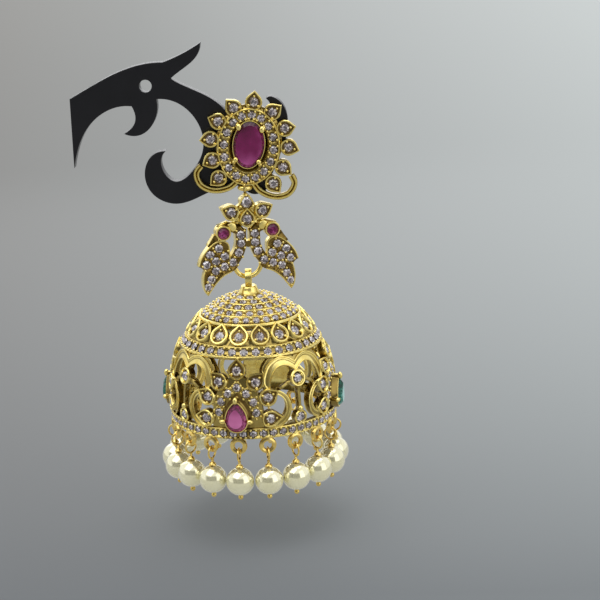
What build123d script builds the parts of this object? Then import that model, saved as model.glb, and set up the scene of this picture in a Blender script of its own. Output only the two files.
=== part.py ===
"""Jhumka earring on the flat display hook that carries it.

Millimetres. X runs to the wearer's right in the front view, -Y faces the viewer, +Z is up.
The origin is the centre of the hook's flat end face. A stud with a long ear post sits in the
hook. A motif of two birds hangs from the stud, and a pierced dome with a fringe of pearls
hangs from the motif.
"""
from build123d import *
from math import asin, atan2, cos, degrees, pi, radians, sin, sqrt
import os

os.makedirs("parts", exist_ok=True)

# Driving dimensions -------------------------------------------------------------------------
HOOK_THICK = 2.5
HOOK_END_HEIGHT = 10.6
SEAT_GAP = 0.06          # clearance between a stone and its seat

CHAIN_X = 26.0           # vertical line through both hinges and the dome's axis
CHAIN_Y = -3.3
UPPER_HINGE_Z = -8.9
LOWER_HINGE_Z = -22.65

STUD_X, STUD_Z = 26.87, -2.26
STUD_TILT = 7.8          # the stud leans to the wearer's right
STUD_THICK = 1.5
RUBY_RX, RUBY_RZ = 2.3, 3.5
HALO_RX, HALO_RZ = 3.8, 4.9
HALO_DROP = 0.4          # the halo's middle lies this far below the ruby's
HALO_COUNT = 16

MOTIF_TURN = 15.0
MOTIF_THICK = 1.5

DOME_APEX_TO_HINGE = 2.45
DOME_HEIGHT = 19.5
FLOWER_TURN = -9.6       # the front ruby's angle from the viewer's direction
BULGE_R = 12.6           # widest radius of the pierced wall
BULGE_Z = 3.5            # height of that widest place above the rim
WALL_ARC = 21.5          # radius of the wall's curve in section
RIM_R, RIM_HEIGHT = 12.75, 1.45
BAND_Z, BAND_R = 12.0, 10.85
CAP_Z, CAP_R = 16.1, 7.7
SHELL = 0.9

RIM_STONES = 52
CROWN_TRAYS = 18
PEARLS = 18
PEARL_R = 2.15
PEARL_RING_R = 12.65     # radius of the circle the pearls hang on
PEARL_Z = -6.85          # pearl centres, from the rim
RING_MAJOR, RING_MINOR = 0.95, 0.32
RING_Z = -1.2

RIM_Z = LOWER_HINGE_Z - DOME_APEX_TO_HINGE - DOME_HEIGHT

# Planes -------------------------------------------------------------------------------------
FRONT = HOOK_THICK / 2
stud_plane = Plane(
    origin=(STUD_X, -FRONT - 0.05, STUD_Z),
    x_dir=(cos(radians(STUD_TILT)), 0, -sin(radians(STUD_TILT))),
    z_dir=(0, -1, 0),
)
motif_plane = Plane(
    origin=(CHAIN_X, CHAIN_Y, UPPER_HINGE_Z),
    x_dir=(cos(radians(MOTIF_TURN)), sin(radians(MOTIF_TURN)), 0),
    z_dir=(sin(radians(MOTIF_TURN)), -cos(radians(MOTIF_TURN)), 0),
)
dome_section = Plane(origin=(CHAIN_X, CHAIN_Y, RIM_Z), x_dir=(1, 0, 0), z_dir=(0, -1, 0))
dome_axis = Axis((CHAIN_X, CHAIN_Y, RIM_Z), (0, 0, 1))


def wall_radius(z):
    """Radius of the pierced wall at height z above the rim."""
    return BULGE_R - WALL_ARC + sqrt(WALL_ARC**2 - (z - BULGE_Z) ** 2)


def crown_radius(z):
    """Radius of the sloping band between the pierced wall and the cap."""
    return BAND_R + (CAP_R - BAND_R) * (z - BAND_Z) / (CAP_Z - BAND_Z)


CROWN_SLOPE = degrees(atan2(BAND_R - CAP_R, CAP_Z - BAND_Z))


def turned(plane, turn):
    """The plane turned about its own normal."""
    return Plane(plane * Rot(0, 0, turn))


def dome_plane(angle, z, radius, lean=0.0, turn=0.0):
    """Plane that touches the dome at an angle from the viewer, with z outward and y upward."""
    a, b = radians(angle), radians(lean)
    plane = Plane(
        origin=(CHAIN_X + radius * sin(a), CHAIN_Y - radius * cos(a), RIM_Z + z),
        x_dir=(cos(a), sin(a), 0),
        z_dir=(sin(a) * cos(b), -cos(a) * cos(b), sin(b)),
    )
    return turned(plane, turn)


def wall_plane(angle, z, out=0.0, turn=0.0):
    """Plane on the pierced wall, square to it."""
    lean = degrees(asin((z - BULGE_Z) / WALL_ARC))
    return dome_plane(angle, z, wall_radius(z) + out * cos(radians(lean)), lean, turn)


def crown_plane(angle, z, out=0.0):
    """Plane on the sloping band, square to it."""
    b = radians(CROWN_SLOPE)
    return dome_plane(angle, z + out * sin(b), crown_radius(z) + out * cos(b), CROWN_SLOPE)


# Shared shapes ------------------------------------------------------------------------------
def drop_points(width, tip, count=6):
    """Points round a drop: a half circle below, two leaning arcs that meet at the tip above."""
    side = (tip**2 - width**2 / 4) / width
    reach = side + width / 2
    top = degrees(atan2(tip, side))
    right = [(reach * cos(radians(top * k / 3)) - side, reach * sin(radians(top * k / 3)))
             for k in range(3)]
    below = [(width / 2 * cos(radians(t)), width / 2 * sin(radians(t)))
             for t in [180 + 180 * k / count for k in range(count)]]
    left = [(-x, y) for x, y in reversed(right[1:])]
    return right + [(0, tip)] + left + below


def drop(width, tip):
    """Drop-shaped face with its round end about the origin and its tip at (0, tip)."""
    side = (tip**2 - width**2 / 4) / width
    reach = side + width / 2
    half = atan2(tip, side) / 2
    bend = (reach * cos(half) - side, reach * sin(half))
    with BuildSketch(mode=Mode.PRIVATE) as face:
        with BuildLine():
            ThreePointArc((width / 2, 0), bend, (0, tip))
            ThreePointArc((0, tip), (-bend[0], bend[1]), (-width / 2, 0))
            ThreePointArc((-width / 2, 0), (0, -width / 2), (width / 2, 0))
        make_face()
    return add(face.sketch_local)


def petal(width, tip):
    """Petal-shaped face: a circle about the origin and two straight sides that meet at (0, tip)."""
    r = width / 2
    side = (r * sqrt(1 - (r / tip)**2), r * r / tip)
    with BuildSketch(mode=Mode.PRIVATE) as face:
        with BuildLine():
            Polyline(side, (0, tip), (-side[0], side[1]))
            ThreePointArc((-side[0], side[1]), (0, -r), side)
        make_face()
    return add(face.sketch_local)


def cut_stone(outline, centre_y, crown, depth, table=0.6, culet=0.12):
    """Stone with a table, a ring of crown facets, a thin girdle and a ring of pavilion facets.

    The outline is a list of corners, and every level is that outline scaled about its centre.
    """
    girdle = 0.12 * crown
    levels = ((-depth, culet), (-girdle, 1.0), (girdle, 1.0), (crown, table))
    with BuildPart() as stone:
        for (low, low_scale), (high, high_scale) in zip(levels, levels[1:]):
            for height, size in ((low, low_scale), (high, high_scale)):
                with BuildSketch(Plane.XY.offset(height)):
                    corners = [(x * size, (y - centre_y) * size + centre_y) for x, y in outline]
                    Polygon(*corners, align=None)
            loft(ruled=True)
    return stone.part


def round_outline(diameter, sides=8):
    """Corners of a regular outline."""
    return [(diameter / 2 * cos(2 * pi * (k + 0.5) / sides),
             diameter / 2 * sin(2 * pi * (k + 0.5) / sides)) for k in range(sides)]


def oval_outline(rx, ry, sides=16):
    """Corners of an oval outline."""
    return [(rx * cos(2 * pi * k / sides), ry * sin(2 * pi * k / sides)) for k in range(sides)]


def melee(diameter):
    """Small round stone with eight crown and eight pavilion facets."""
    return cut_stone(round_outline(diameter), 0.0, 0.2 * diameter, 0.36 * diameter)


def set_stones(stone, planes):
    """Copies of one stone, one for each plane."""
    with BuildPart() as field:
        with Locations(*[plane.location for plane in planes]):
            add(stone)
    return field.part


def tray(planes, width, tip, below, above):
    """Petal-shaped trays standing on the planes."""
    with BuildSketch(*[plane.offset(-below) for plane in planes]) as outline:
        petal(width, tip)
    extrude(outline.sketch, amount=below + above)


def tray_recess(planes, width, tip, above, wall, recess):
    """Shallow petal-shaped recess inside each tray's raised rim, which is as wide all round."""
    with BuildSketch(*[plane.offset(above) for plane in planes]) as outline:
        petal(width - 2 * wall, tip * (1 - 2 * wall / width))
    extrude(outline.sketch, amount=-recess, mode=Mode.SUBTRACT)


def stone_pockets(planes, diameter, top, depth):
    """Round seats for small stones."""
    with BuildSketch(*[plane.offset(top) for plane in planes]) as seats:
        Circle(diameter / 2 + SEAT_GAP)
    extrude(seats.sketch, amount=-depth, mode=Mode.SUBTRACT)


# Display hook -------------------------------------------------------------------------------
HOOK_HOLE = (11.56, 6.88)
HOOK_HOLE_R = 0.95
POST_R, POST_HOLE_R = 0.45, 0.55
POST_LENGTH = 10.8       # straight length behind the stud's back
NOTCH_AT, NOTCH_LENGTH, NOTCH_R = 6.6, 1.0, 0.28
END_TOP, END_BOTTOM = HOOK_END_HEIGHT / 2, -HOOK_END_HEIGHT / 2

# Each row is one curve of the outline, in order round the plate, with its points (x, z).
HOOK_CURVES = (
    ("arm_top", [(0, END_TOP), (2.6, 6.7), (7.3, 9.0), (14.3, 10.35)]),
    ("beak_back", [(14.3, 10.35), (17.6, 11.7), (20.1, 13.1)]),
    ("beak_front", [(20.1, 13.1), (19.6, 11.3), (17.2, 9.2), (15.4, 7.85)]),
    ("back", [(15.4, 7.85), (17.5, 6.7), (21.0, 4.95), (23.4, 2.9)]),
    ("valley", [(23.4, 2.9), (24.9, 1.5), (27.1, 0.9), (29.4, 1.8), (30.3, 3.2), (29.7, 4.4)]),
    ("spur_tip", [(29.7, 4.4), (30.1, 4.7), (30.8, 4.6)]),
    ("lobe_right", [(30.8, 4.6), (32.3, 3.3), (32.9, 0.8), (31.5, -4.3), (29.6, -9.2)]),
    ("lobe_foot", [(29.6, -9.2), (27.4, -10.2), (25.4, -8.9)]),
    ("scroll_foot", [(25.4, -8.9), (20.1, -9.8), (15.2, -11.3), (11.9, -9.8), (10.7, -6.8),
                     (11.6, -4.1), (14.1, -3.1)]),
    ("scroll_inside", [(14.1, -3.1), (13.4, -5.6), (15.2, -7.8), (18.3, -6.0), (19.9, -1.5),
                       (17.8, 3.0), (13.1, 4.85)]),
    ("tusk_back", [(13.1, 4.85), (12.8, 1.9), (11.3, -0.05), (7.9, -0.25)]),
    ("tusk_front", [(7.9, -0.25), (9.7, 1.6), (9.3, 3.9)]),
    ("arch", [(9.3, 3.9), (5.0, 3.05), (1.95, 0.15), (0.75, -2.4), (0, END_BOTTOM)]),
)

with BuildPart() as display_hook:
    with BuildSketch(Plane.XZ.offset(-HOOK_THICK / 2)):
        with BuildLine():
            for name, points in HOOK_CURVES:
                Spline(*points)
            Line((0, END_BOTTOM), (0, END_TOP))
        make_face()
        with Locations(HOOK_HOLE):
            Circle(HOOK_HOLE_R, mode=Mode.SUBTRACT)
        with Locations((STUD_X, STUD_Z)):
            Circle(POST_HOLE_R, mode=Mode.SUBTRACT)
    extrude(amount=HOOK_THICK)
display_hook.part.label = "display_hook"

# Stud ---------------------------------------------------------------------------------------
# One row for each petal: angle from the top, distance out, direction of the tip, all in the
# stud's own plane. The petals with an angle are mirrored to the other side.
PETAL_WIDTH, PETAL_TIP = 2.5, 1.75
STUD_PETALS = (
    # angle, distance, tip direction
    (0.0, 6.4, 0.0),
    (29.3, 5.97, 48.0),
    (59.7, 5.85, 74.0),
    (88.4, 5.95, 102.0),
    (119.2, 6.15, 123.0),
    (143.4, 7.0, 137.0),
)
PETALS_SHIFT = 0.1       # the ring of petals lies this far to the side of the ruby
SCROLL_WIDTH, SCROLL_THICK, SCROLL_GROOVE = 0.9, 0.9, 0.2
SCROLL_PATH = [(1.3, -5.9), (2.5, -7.05), (4.7, -7.65), (6.7, -7.0), (7.5, -5.4), (6.9, -4.1)]
NECK_WIDTH = 1.2
RUBY_SEAT = 1.66         # height of the ruby's girdle above the stud's back
CLUTCH_R, CLUTCH_DISC = 2.25, 1.2
CLUTCH_BARREL_R, CLUTCH_BARREL = 1.3, 2.4
CLUTCH_BORE = POST_R + SEAT_GAP
CLAW_AT = (1.98, 2.8)
CLAW_R, CLAW_TOP = 0.24, 2.05
TRAY_HEIGHT = 1.35
STONE_D = 1.45
HALO_STONE_D = 1.15
RECESS = 0.25

stud_petal_planes = []
for angle, distance, tip_direction in STUD_PETALS:
    for side in ((1, -1) if angle else (1,)):
        at = stud_plane.from_local_coords(
            (PETALS_SHIFT + side * distance * sin(radians(angle)), distance * cos(radians(angle)), 0))
        plane = Plane(origin=at, x_dir=stud_plane.x_dir, z_dir=stud_plane.z_dir)
        stud_petal_planes.append(turned(plane, -side * tip_direction))

halo_planes = []
for k in range(HALO_COUNT):
    t = 2 * pi * k / HALO_COUNT
    at = stud_plane.from_local_coords((HALO_RX * sin(t), HALO_RZ * cos(t) - HALO_DROP, 0))
    halo_planes.append(Plane(origin=at, x_dir=stud_plane.x_dir, z_dir=stud_plane.z_dir))

LOOP_MAJOR, LOOP_MINOR = 0.75, 0.22      # the motif's loop, which turns about the upper hinge
hang_ring = Plane(origin=(CHAIN_X, CHAIN_Y + LOOP_MAJOR, UPPER_HINGE_Z), z_dir=(0, 0, 1))
upper_hinge = Plane(origin=(CHAIN_X, CHAIN_Y, UPPER_HINGE_Z), z_dir=(1, 0, 0))

with BuildPart() as stud_frame:
    with BuildSketch(stud_plane):
        Ellipse(5.0, 6.1)
    extrude(amount=0.8)
    with BuildSketch(stud_plane):
        with Locations((0, -HALO_DROP)):
            Ellipse(4.6, 5.75)
    extrude(amount=STUD_THICK)
    with BuildSketch(stud_plane):
        with Locations((0, -HALO_DROP)):
            Ellipse(4.65, 5.8)
            Ellipse(4.45, 5.6, mode=Mode.SUBTRACT)
    extrude(amount=STUD_THICK + 0.2)
    tray(stud_petal_planes, PETAL_WIDTH, PETAL_TIP, 0, TRAY_HEIGHT)
    for angle, distance, tip_direction in STUD_PETALS[-2:]:
        for side in (1, -1):
            reach = (PETALS_SHIFT + side * distance * sin(radians(angle)),
                     distance * cos(radians(angle)))
            with BuildSketch(stud_plane):
                with BuildLine(mode=Mode.PRIVATE) as neck:
                    Line((reach[0] / 2, reach[1] / 2), reach)
                trace(neck.line, line_width=NECK_WIDTH)
            extrude(amount=0.9)
    for side in (1, -1):
        with BuildSketch(stud_plane.offset(0.2)):
            with BuildLine(mode=Mode.PRIVATE) as scroll:
                Spline(*[(side * x, y) for x, y in SCROLL_PATH])
            trace(scroll.line, line_width=SCROLL_WIDTH)
        extrude(amount=SCROLL_THICK)
        with BuildSketch(stud_plane.offset(0.2 + SCROLL_THICK)):
            trace(scroll.line, line_width=SCROLL_GROOVE)
        extrude(amount=-0.2, mode=Mode.SUBTRACT)
    with BuildSketch(stud_plane.offset(0.55)):
        with Locations((0, -HALO_DROP / 2)):
            Ellipse(2.85, 3.9)
    extrude(amount=STUD_THICK, mode=Mode.SUBTRACT)
    with BuildSketch(stud_plane.offset(0.5)):
        Ellipse(RUBY_RX + 0.22, RUBY_RZ + 0.22)
        Ellipse(RUBY_RX - 0.35, RUBY_RZ - 0.35, mode=Mode.SUBTRACT)
    extrude(amount=1.3)
    with BuildSketch(stud_plane.offset(1.35)):
        Ellipse(RUBY_RX + SEAT_GAP, RUBY_RZ + SEAT_GAP)
    extrude(amount=1.0, mode=Mode.SUBTRACT)
    tray_recess(stud_petal_planes, PETAL_WIDTH, PETAL_TIP, TRAY_HEIGHT, 0.24, RECESS)
    stone_pockets(stud_petal_planes, STONE_D, TRAY_HEIGHT, 0.9)
    stone_pockets(halo_planes, HALO_STONE_D, STUD_THICK, 0.75)
    for x, y in ((1, 1), (-1, 1), (-1, -1), (1, -1)):
        claw = Plane(origin=stud_plane.from_local_coords((x * CLAW_AT[0], y * CLAW_AT[1], 0.5)),
                     x_dir=stud_plane.x_dir, z_dir=stud_plane.z_dir)
        with BuildSketch(claw):
            Circle(CLAW_R)
        extrude(amount=CLAW_TOP - 0.5)
        with Locations(claw.offset(CLAW_TOP - 0.5).location):
            Sphere(CLAW_R + 0.06)
    with BuildSketch(stud_plane):
        Circle(POST_R)
    extrude(amount=-POST_LENGTH)
    with BuildSketch(stud_plane.offset(-POST_LENGTH)):
        Circle(POST_R)
    with BuildSketch(stud_plane.offset(-POST_LENGTH - 0.3)):
        Circle(POST_R - 0.2)
    loft()
    # The notch that stops the clutch from sliding off.
    with BuildSketch(stud_plane.offset(-NOTCH_AT)):
        Circle(POST_R + 0.2)
        Circle(NOTCH_R, mode=Mode.SUBTRACT)
    extrude(amount=-NOTCH_LENGTH, mode=Mode.SUBTRACT)
    with Locations(upper_hinge.location):
        Cylinder(LOOP_MAJOR + LOOP_MINOR + 0.08, 0.8, mode=Mode.SUBTRACT)
    with Locations(hang_ring.location):
        Torus(0.8, 0.35)
    with BuildSketch(Plane.XZ.offset(-(CHAIN_Y + LOOP_MAJOR) - 0.35)):
        with BuildLine():
            Polyline((CHAIN_X - 0.9, UPPER_HINGE_Z + 0.0), (CHAIN_X - 0.7, UPPER_HINGE_Z + 1.2),
                     (CHAIN_X + 0.9, UPPER_HINGE_Z + 1.2), (CHAIN_X + 0.9, UPPER_HINGE_Z + 0.0),
                     close=True)
        make_face()
    extrude(amount=-0.45)
stud_frame.part.label = "stud_frame"

with BuildPart() as post_clutch:
    with BuildSketch(Plane.XZ.offset(-FRONT - 0.1)):
        with Locations((STUD_X, STUD_Z)):
            Circle(CLUTCH_R)
            Circle(CLUTCH_BORE, mode=Mode.SUBTRACT)
    extrude(amount=-CLUTCH_DISC)
    with BuildSketch(Plane.XZ.offset(-FRONT - 0.1 - CLUTCH_DISC)):
        with Locations((STUD_X, STUD_Z)):
            Circle(CLUTCH_BARREL_R)
            Circle(CLUTCH_BORE, mode=Mode.SUBTRACT)
    extrude(amount=-CLUTCH_BARREL)
post_clutch.part.label = "post_clutch"

with BuildPart() as centre_ruby:
    with Locations(stud_plane.offset(RUBY_SEAT).location):
        add(cut_stone(oval_outline(RUBY_RX, RUBY_RZ), 0.0, 0.9, 1.0, table=0.62))
centre_ruby.part.label = "centre_ruby"

petal_stone = melee(STONE_D)
halo_stone = melee(HALO_STONE_D)
stud_halo_stones = set_stones(halo_stone, [p.offset(STUD_THICK - 0.1) for p in halo_planes])
stud_petal_stones = set_stones(
    petal_stone, [p.offset(TRAY_HEIGHT - RECESS - 0.05) for p in stud_petal_planes])

# Motif --------------------------------------------------------------------------------------
# Two birds back to back. Local x runs across the motif and y up from the hinge. Rows with an x
# are mirrored to the other side.
MOTIF_TOP = (0.0, -2.0)
MOTIF_DROPS = (
    # x, y, tip direction from upright
    (0.0, -4.6, 0.0),
    (2.45, -3.4, 65.0),
)
MOTIF_DROP_WIDTH, MOTIF_DROP_TIP = 2.4, 1.8
MOTIF_EYE = (3.86, -6.45)
EYE_STONE_D = 1.7
BIRD_NECK = [(4.6, -5.35), (3.0, -4.85), (1.2, -5.3), (0.5, -6.1), (1.6, -6.9), (3.2, -6.1)]
BIRD_BODY = [(0.95, -5.9), (1.1, -6.95), (1.1, -8.3), (1.5, -9.7), (2.45, -11.15), (3.1, -12.1)]
BIRD_BODY_WIDTH = 1.65
BIRD_BACK = [(4.85, -6.9), (5.35, -7.7), (6.0, -8.6)]
WING_OUTLINE = (
    [(2.9, -10.7), (2.95, -9.4), (3.05, -8.4), (3.6, -7.8), (4.4, -7.65), (5.4, -8.0),
     (6.7, -9.1), (7.5, -10.3), (7.9, -11.4)],
    [(7.9, -11.4), (7.3, -11.75), (6.95, -12.3)],
    [(6.95, -12.3), (7.2, -13.1), (7.3, -14.2), (7.1, -15.3), (6.6, -16.1)],
    [(6.6, -16.1), (6.0, -15.2), (5.1, -14.1), (3.9, -13.1), (2.7, -12.6), (1.75, -11.85)],
    [(1.75, -11.85), (2.9, -10.7)],
)
BODY_STONES = [(1.1, -6.95), (1.1, -8.3), (1.5, -9.7), (2.45, -11.15)]
WING_STONES = [(4.6, -8.8), (6.0, -9.7), (3.75, -10.1), (5.15, -10.75), (6.65, -11.2),
               (3.85, -11.7), (5.2, -12.25), (5.95, -13.55), (6.5, -14.75)]
MOTIF_PAVE_D = 1.05
SWING_WIRE = [(-2.1, -11.9), (0.0, -13.75), (2.1, -11.9)]
SWING_WIRE_R = 0.36
HALF = MOTIF_THICK / 2

motif_petal_planes = []
motif_eye_planes = []
motif_pave_planes = []
for x, y, tip_direction in MOTIF_DROPS:
    for side in ((1, -1) if x else (1,)):
        at = motif_plane.from_local_coords((side * x, y, 0))
        plane = Plane(origin=at, x_dir=motif_plane.x_dir, z_dir=motif_plane.z_dir)
        motif_petal_planes.append(turned(plane, -side * tip_direction))
for side in (-1, 1):
    at = motif_plane.from_local_coords((side * MOTIF_EYE[0], MOTIF_EYE[1], 0))
    motif_eye_planes.append(Plane(origin=at, x_dir=motif_plane.x_dir, z_dir=motif_plane.z_dir))
    for x, y in BODY_STONES + WING_STONES:
        at = motif_plane.from_local_coords((side * x, y, 0))
        motif_pave_planes.append(
            Plane(origin=at, x_dir=motif_plane.x_dir, z_dir=motif_plane.z_dir))
motif_top_plane = Plane(origin=motif_plane.from_local_coords((*MOTIF_TOP, 0)),
                        x_dir=motif_plane.x_dir, z_dir=motif_plane.z_dir)

with BuildPart() as motif_frame:
    with BuildSketch(motif_plane.offset(-HALF)):
        with Locations(MOTIF_TOP):
            Circle(1.02)
        for side in (1, -1):
            with BuildLine():
                Polyline(*[(side * x, y) for x, y in BIRD_NECK], close=True)
            make_face()
            with BuildLine(mode=Mode.PRIVATE) as body:
                Spline(*[(side * x, y) for x, y in BIRD_BODY])
            trace(body.line, line_width=BIRD_BODY_WIDTH)
            with BuildLine(mode=Mode.PRIVATE) as back:
                Spline(*[(side * x, y) for x, y in BIRD_BACK])
            trace(back.line, line_width=0.9)
            with BuildLine():
                for curve in WING_OUTLINE:
                    Spline(*[(side * x, y) for x, y in curve])
            make_face()
        with Locations((0, -8.45)):
            Circle(0.5)
    extrude(amount=MOTIF_THICK)
    with BuildSketch(motif_plane.offset(-0.45)):
        for side in (1, -1):
            with BuildLine():
                Polyline((0, -1.6), (side * 1.9, -2.9), (side * 2.6, -4.6), (side * 1.4, -5.8),
                         (0, -5.4), close=True)
            make_face()
    extrude(amount=0.9)
    with BuildSketch(motif_plane.offset(-HALF)):
        with Locations(*[(side * MOTIF_EYE[0], MOTIF_EYE[1]) for side in (1, -1)]):
            Circle(1.18)
    extrude(amount=MOTIF_THICK + 0.3)
    tray(motif_petal_planes, MOTIF_DROP_WIDTH, MOTIF_DROP_TIP, HALF, HALF + 0.2)
    tray_recess(motif_petal_planes, MOTIF_DROP_WIDTH, MOTIF_DROP_TIP, HALF + 0.2, 0.24, RECESS)
    stone_pockets(motif_petal_planes, STONE_D, HALF + 0.2, 0.85)
    stone_pockets([motif_top_plane], STONE_D, HALF, 0.7)
    stone_pockets(motif_eye_planes, EYE_STONE_D, HALF + 0.3, 0.9)
    stone_pockets(motif_pave_planes, MOTIF_PAVE_D, HALF, 0.6)
    with BuildSketch(motif_plane.offset(-0.3)):
        with Locations((0, -1.1)):
            Rectangle(0.7, 0.7)
    extrude(amount=0.6)
    with BuildLine(mode=Mode.PRIVATE) as wire_path:
        ThreePointArc(*[motif_plane.from_local_coords((x, y, 0)) for x, y in SWING_WIRE])
    wire_end = wire_path.line % 0
    with BuildSketch(Plane(origin=wire_path.line @ 0, z_dir=wire_end)):
        Circle(SWING_WIRE_R)
    sweep(path=wire_path.line)
    with Locations(upper_hinge.location):
        Torus(LOOP_MAJOR, LOOP_MINOR)
motif_frame.part.label = "motif_frame"

eye_stone = melee(EYE_STONE_D)
motif_ruby_left = set_stones(eye_stone, [motif_eye_planes[0].offset(HALF + 0.2)])
motif_ruby_right = set_stones(eye_stone, [motif_eye_planes[1].offset(HALF + 0.2)])
motif_petal_stones = set_stones(
    petal_stone,
    [p.offset(HALF + 0.2 - RECESS - 0.05) for p in motif_petal_planes]
    + [motif_top_plane.offset(HALF - 0.1)])
motif_pave_stones = set_stones(
    melee(MOTIF_PAVE_D), [p.offset(HALF - 0.1) for p in motif_pave_planes])

# Dome ---------------------------------------------------------------------------------------
# Angles are measured from a flower's axis, heights from the rim. Rows with an angle are
# mirrored to the other side. Four flowers stand a quarter turn apart, with a heart between.
FLOWER_WIDTH, FLOWER_TIP = 2.6, 1.9
FLOWER_TRAYS = (
    # angle, height, tip direction from upright
    (0.0, 10.2, 0.0),
    (13.2, 8.55, 45.0),
    (21.3, 6.2, 59.5),
    (22.5, 2.95, 84.0),
)
FLOWER_HALO = [(0.0, 7.8), (6.5, 6.9), (11.3, 5.6), (13.0, 3.97)]
FLOWER_WEB = [(0, 10.2), (2.1, 8.4), (3.5, 6.3), (3.9, 3.6), (3.9, 1.2)]
PEAR_WIDTH, PEAR_TIP, PEAR_Z = 3.2, 2.9, 2.95
PEAR_SEAT_R = 13.5       # radius of the pear stones' girdle plane
CLAW_SPOTS = [(0.0, 6.27), (8.6, 2.95), (-8.6, 2.95)]
CRESCENT_ANGLE, CRESCENT_Z = 30.0, 4.4
CRESCENT_OUTER = [(-0.6, 2.75), (1.65, 0.0), (-1.2, -3.1)]
CRESCENT_INNER = [(-0.6, 2.2), (1.0, 0.0), (-1.2, -2.1)]
HEART_Z = 9.2
HEART_OUTER = [(0, 1.7), (1.1, 2.5), (2.6, 2.75), (4.3, 1.85), (5.25, 0.15), (5.3, -1.0),
               (4.6, -2.2)]
HEART_INNER = [(4.6, -2.2), (4.45, -1.0), (4.0, 0.2), (3.1, 1.25), (2.0, 1.55), (0.9, 1.15),
               (0, 0.4)]
BEZEL_R, BEZEL_Z = 1.3, 8.43
VALLEY_R, VALLEY_Z = 1.1, 2.4
HEART_STONE_D = 1.5
STEM_WIDTH = 0.45
CROWN_TRAY_Z, CROWN_WIDTH, CROWN_TIP = 14.6, 2.8, 1.95
CROWN_WINDOW = [(0, -0.1), (0.95, 1.45), (-0.95, 1.45)]
CAP_OUTER = [(CAP_R, CAP_Z), (6.5, 17.15), (4.8, 18.2), (2.9, 19.0), (0.0, DOME_HEIGHT)]
CAP_INNER = [(0.0, 18.6), (2.6, 18.15), (4.3, 17.35), (5.8, 16.45), (6.99, 15.55)]
RIM_STONE_D, RIM_STONE_Z = 1.1, 0.68
SLOPE = radians(CROWN_SLOPE)
TURNS = [90 * k for k in range(4)]


def mirrored(rows):
    """Rows of (angle, ...) with a mirrored copy of each row that has an angle."""
    return [(side * row[0], *row[1:], side) for row in rows for side in (1, -1)
            if row[0] or side == 1]


def flower_planes(turn):
    """Planes of one flower's trays."""
    return [wall_plane(FLOWER_TURN + turn + angle, z, turn=-side * tip)
            for angle, z, tip, side in mirrored(FLOWER_TRAYS)]


def halo_wall_planes(turn):
    """Planes of the small stones between one flower's trays and its pear stone."""
    return [wall_plane(FLOWER_TURN + turn + angle, z)
            for angle, z, side in mirrored(FLOWER_HALO)]


def heart_planes(turn):
    """Planes of the stones in a heart's bezel and in the valley below it."""
    return [wall_plane(FLOWER_TURN + turn + 45, z) for z in (BEZEL_Z, VALLEY_Z)]


def bosses(planes, radius, below, above):
    """Round seats' bodies standing on the planes."""
    with BuildSketch(*[plane.offset(-below) for plane in planes]) as outline:
        Circle(radius)
    extrude(outline.sketch, amount=below + above)


crown_planes = [crown_plane(FLOWER_TURN + 20 * k, CROWN_TRAY_Z) for k in range(CROWN_TRAYS)]
rim_planes = [dome_plane(FLOWER_TURN + 360 * (k + 0.5) / RIM_STONES, RIM_STONE_Z, RIM_R)
              for k in range(RIM_STONES)]

with BuildPart() as wall_shell:
    with BuildSketch(dome_section):
        with BuildLine():
            ThreePointArc(*[(wall_radius(z) + 0.08, z) for z in (1.2, 6.5, 12.1)])
            ThreePointArc(*[(wall_radius(z) - 0.85, z) for z in (12.1, 6.5, 1.2)])
            Line((wall_radius(12.1) + 0.08, 12.1), (wall_radius(12.1) - 0.85, 12.1))
            Line((wall_radius(1.2) + 0.08, 1.2), (wall_radius(1.2) - 0.85, 1.2))
        make_face()
    revolve(axis=dome_axis)

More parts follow.
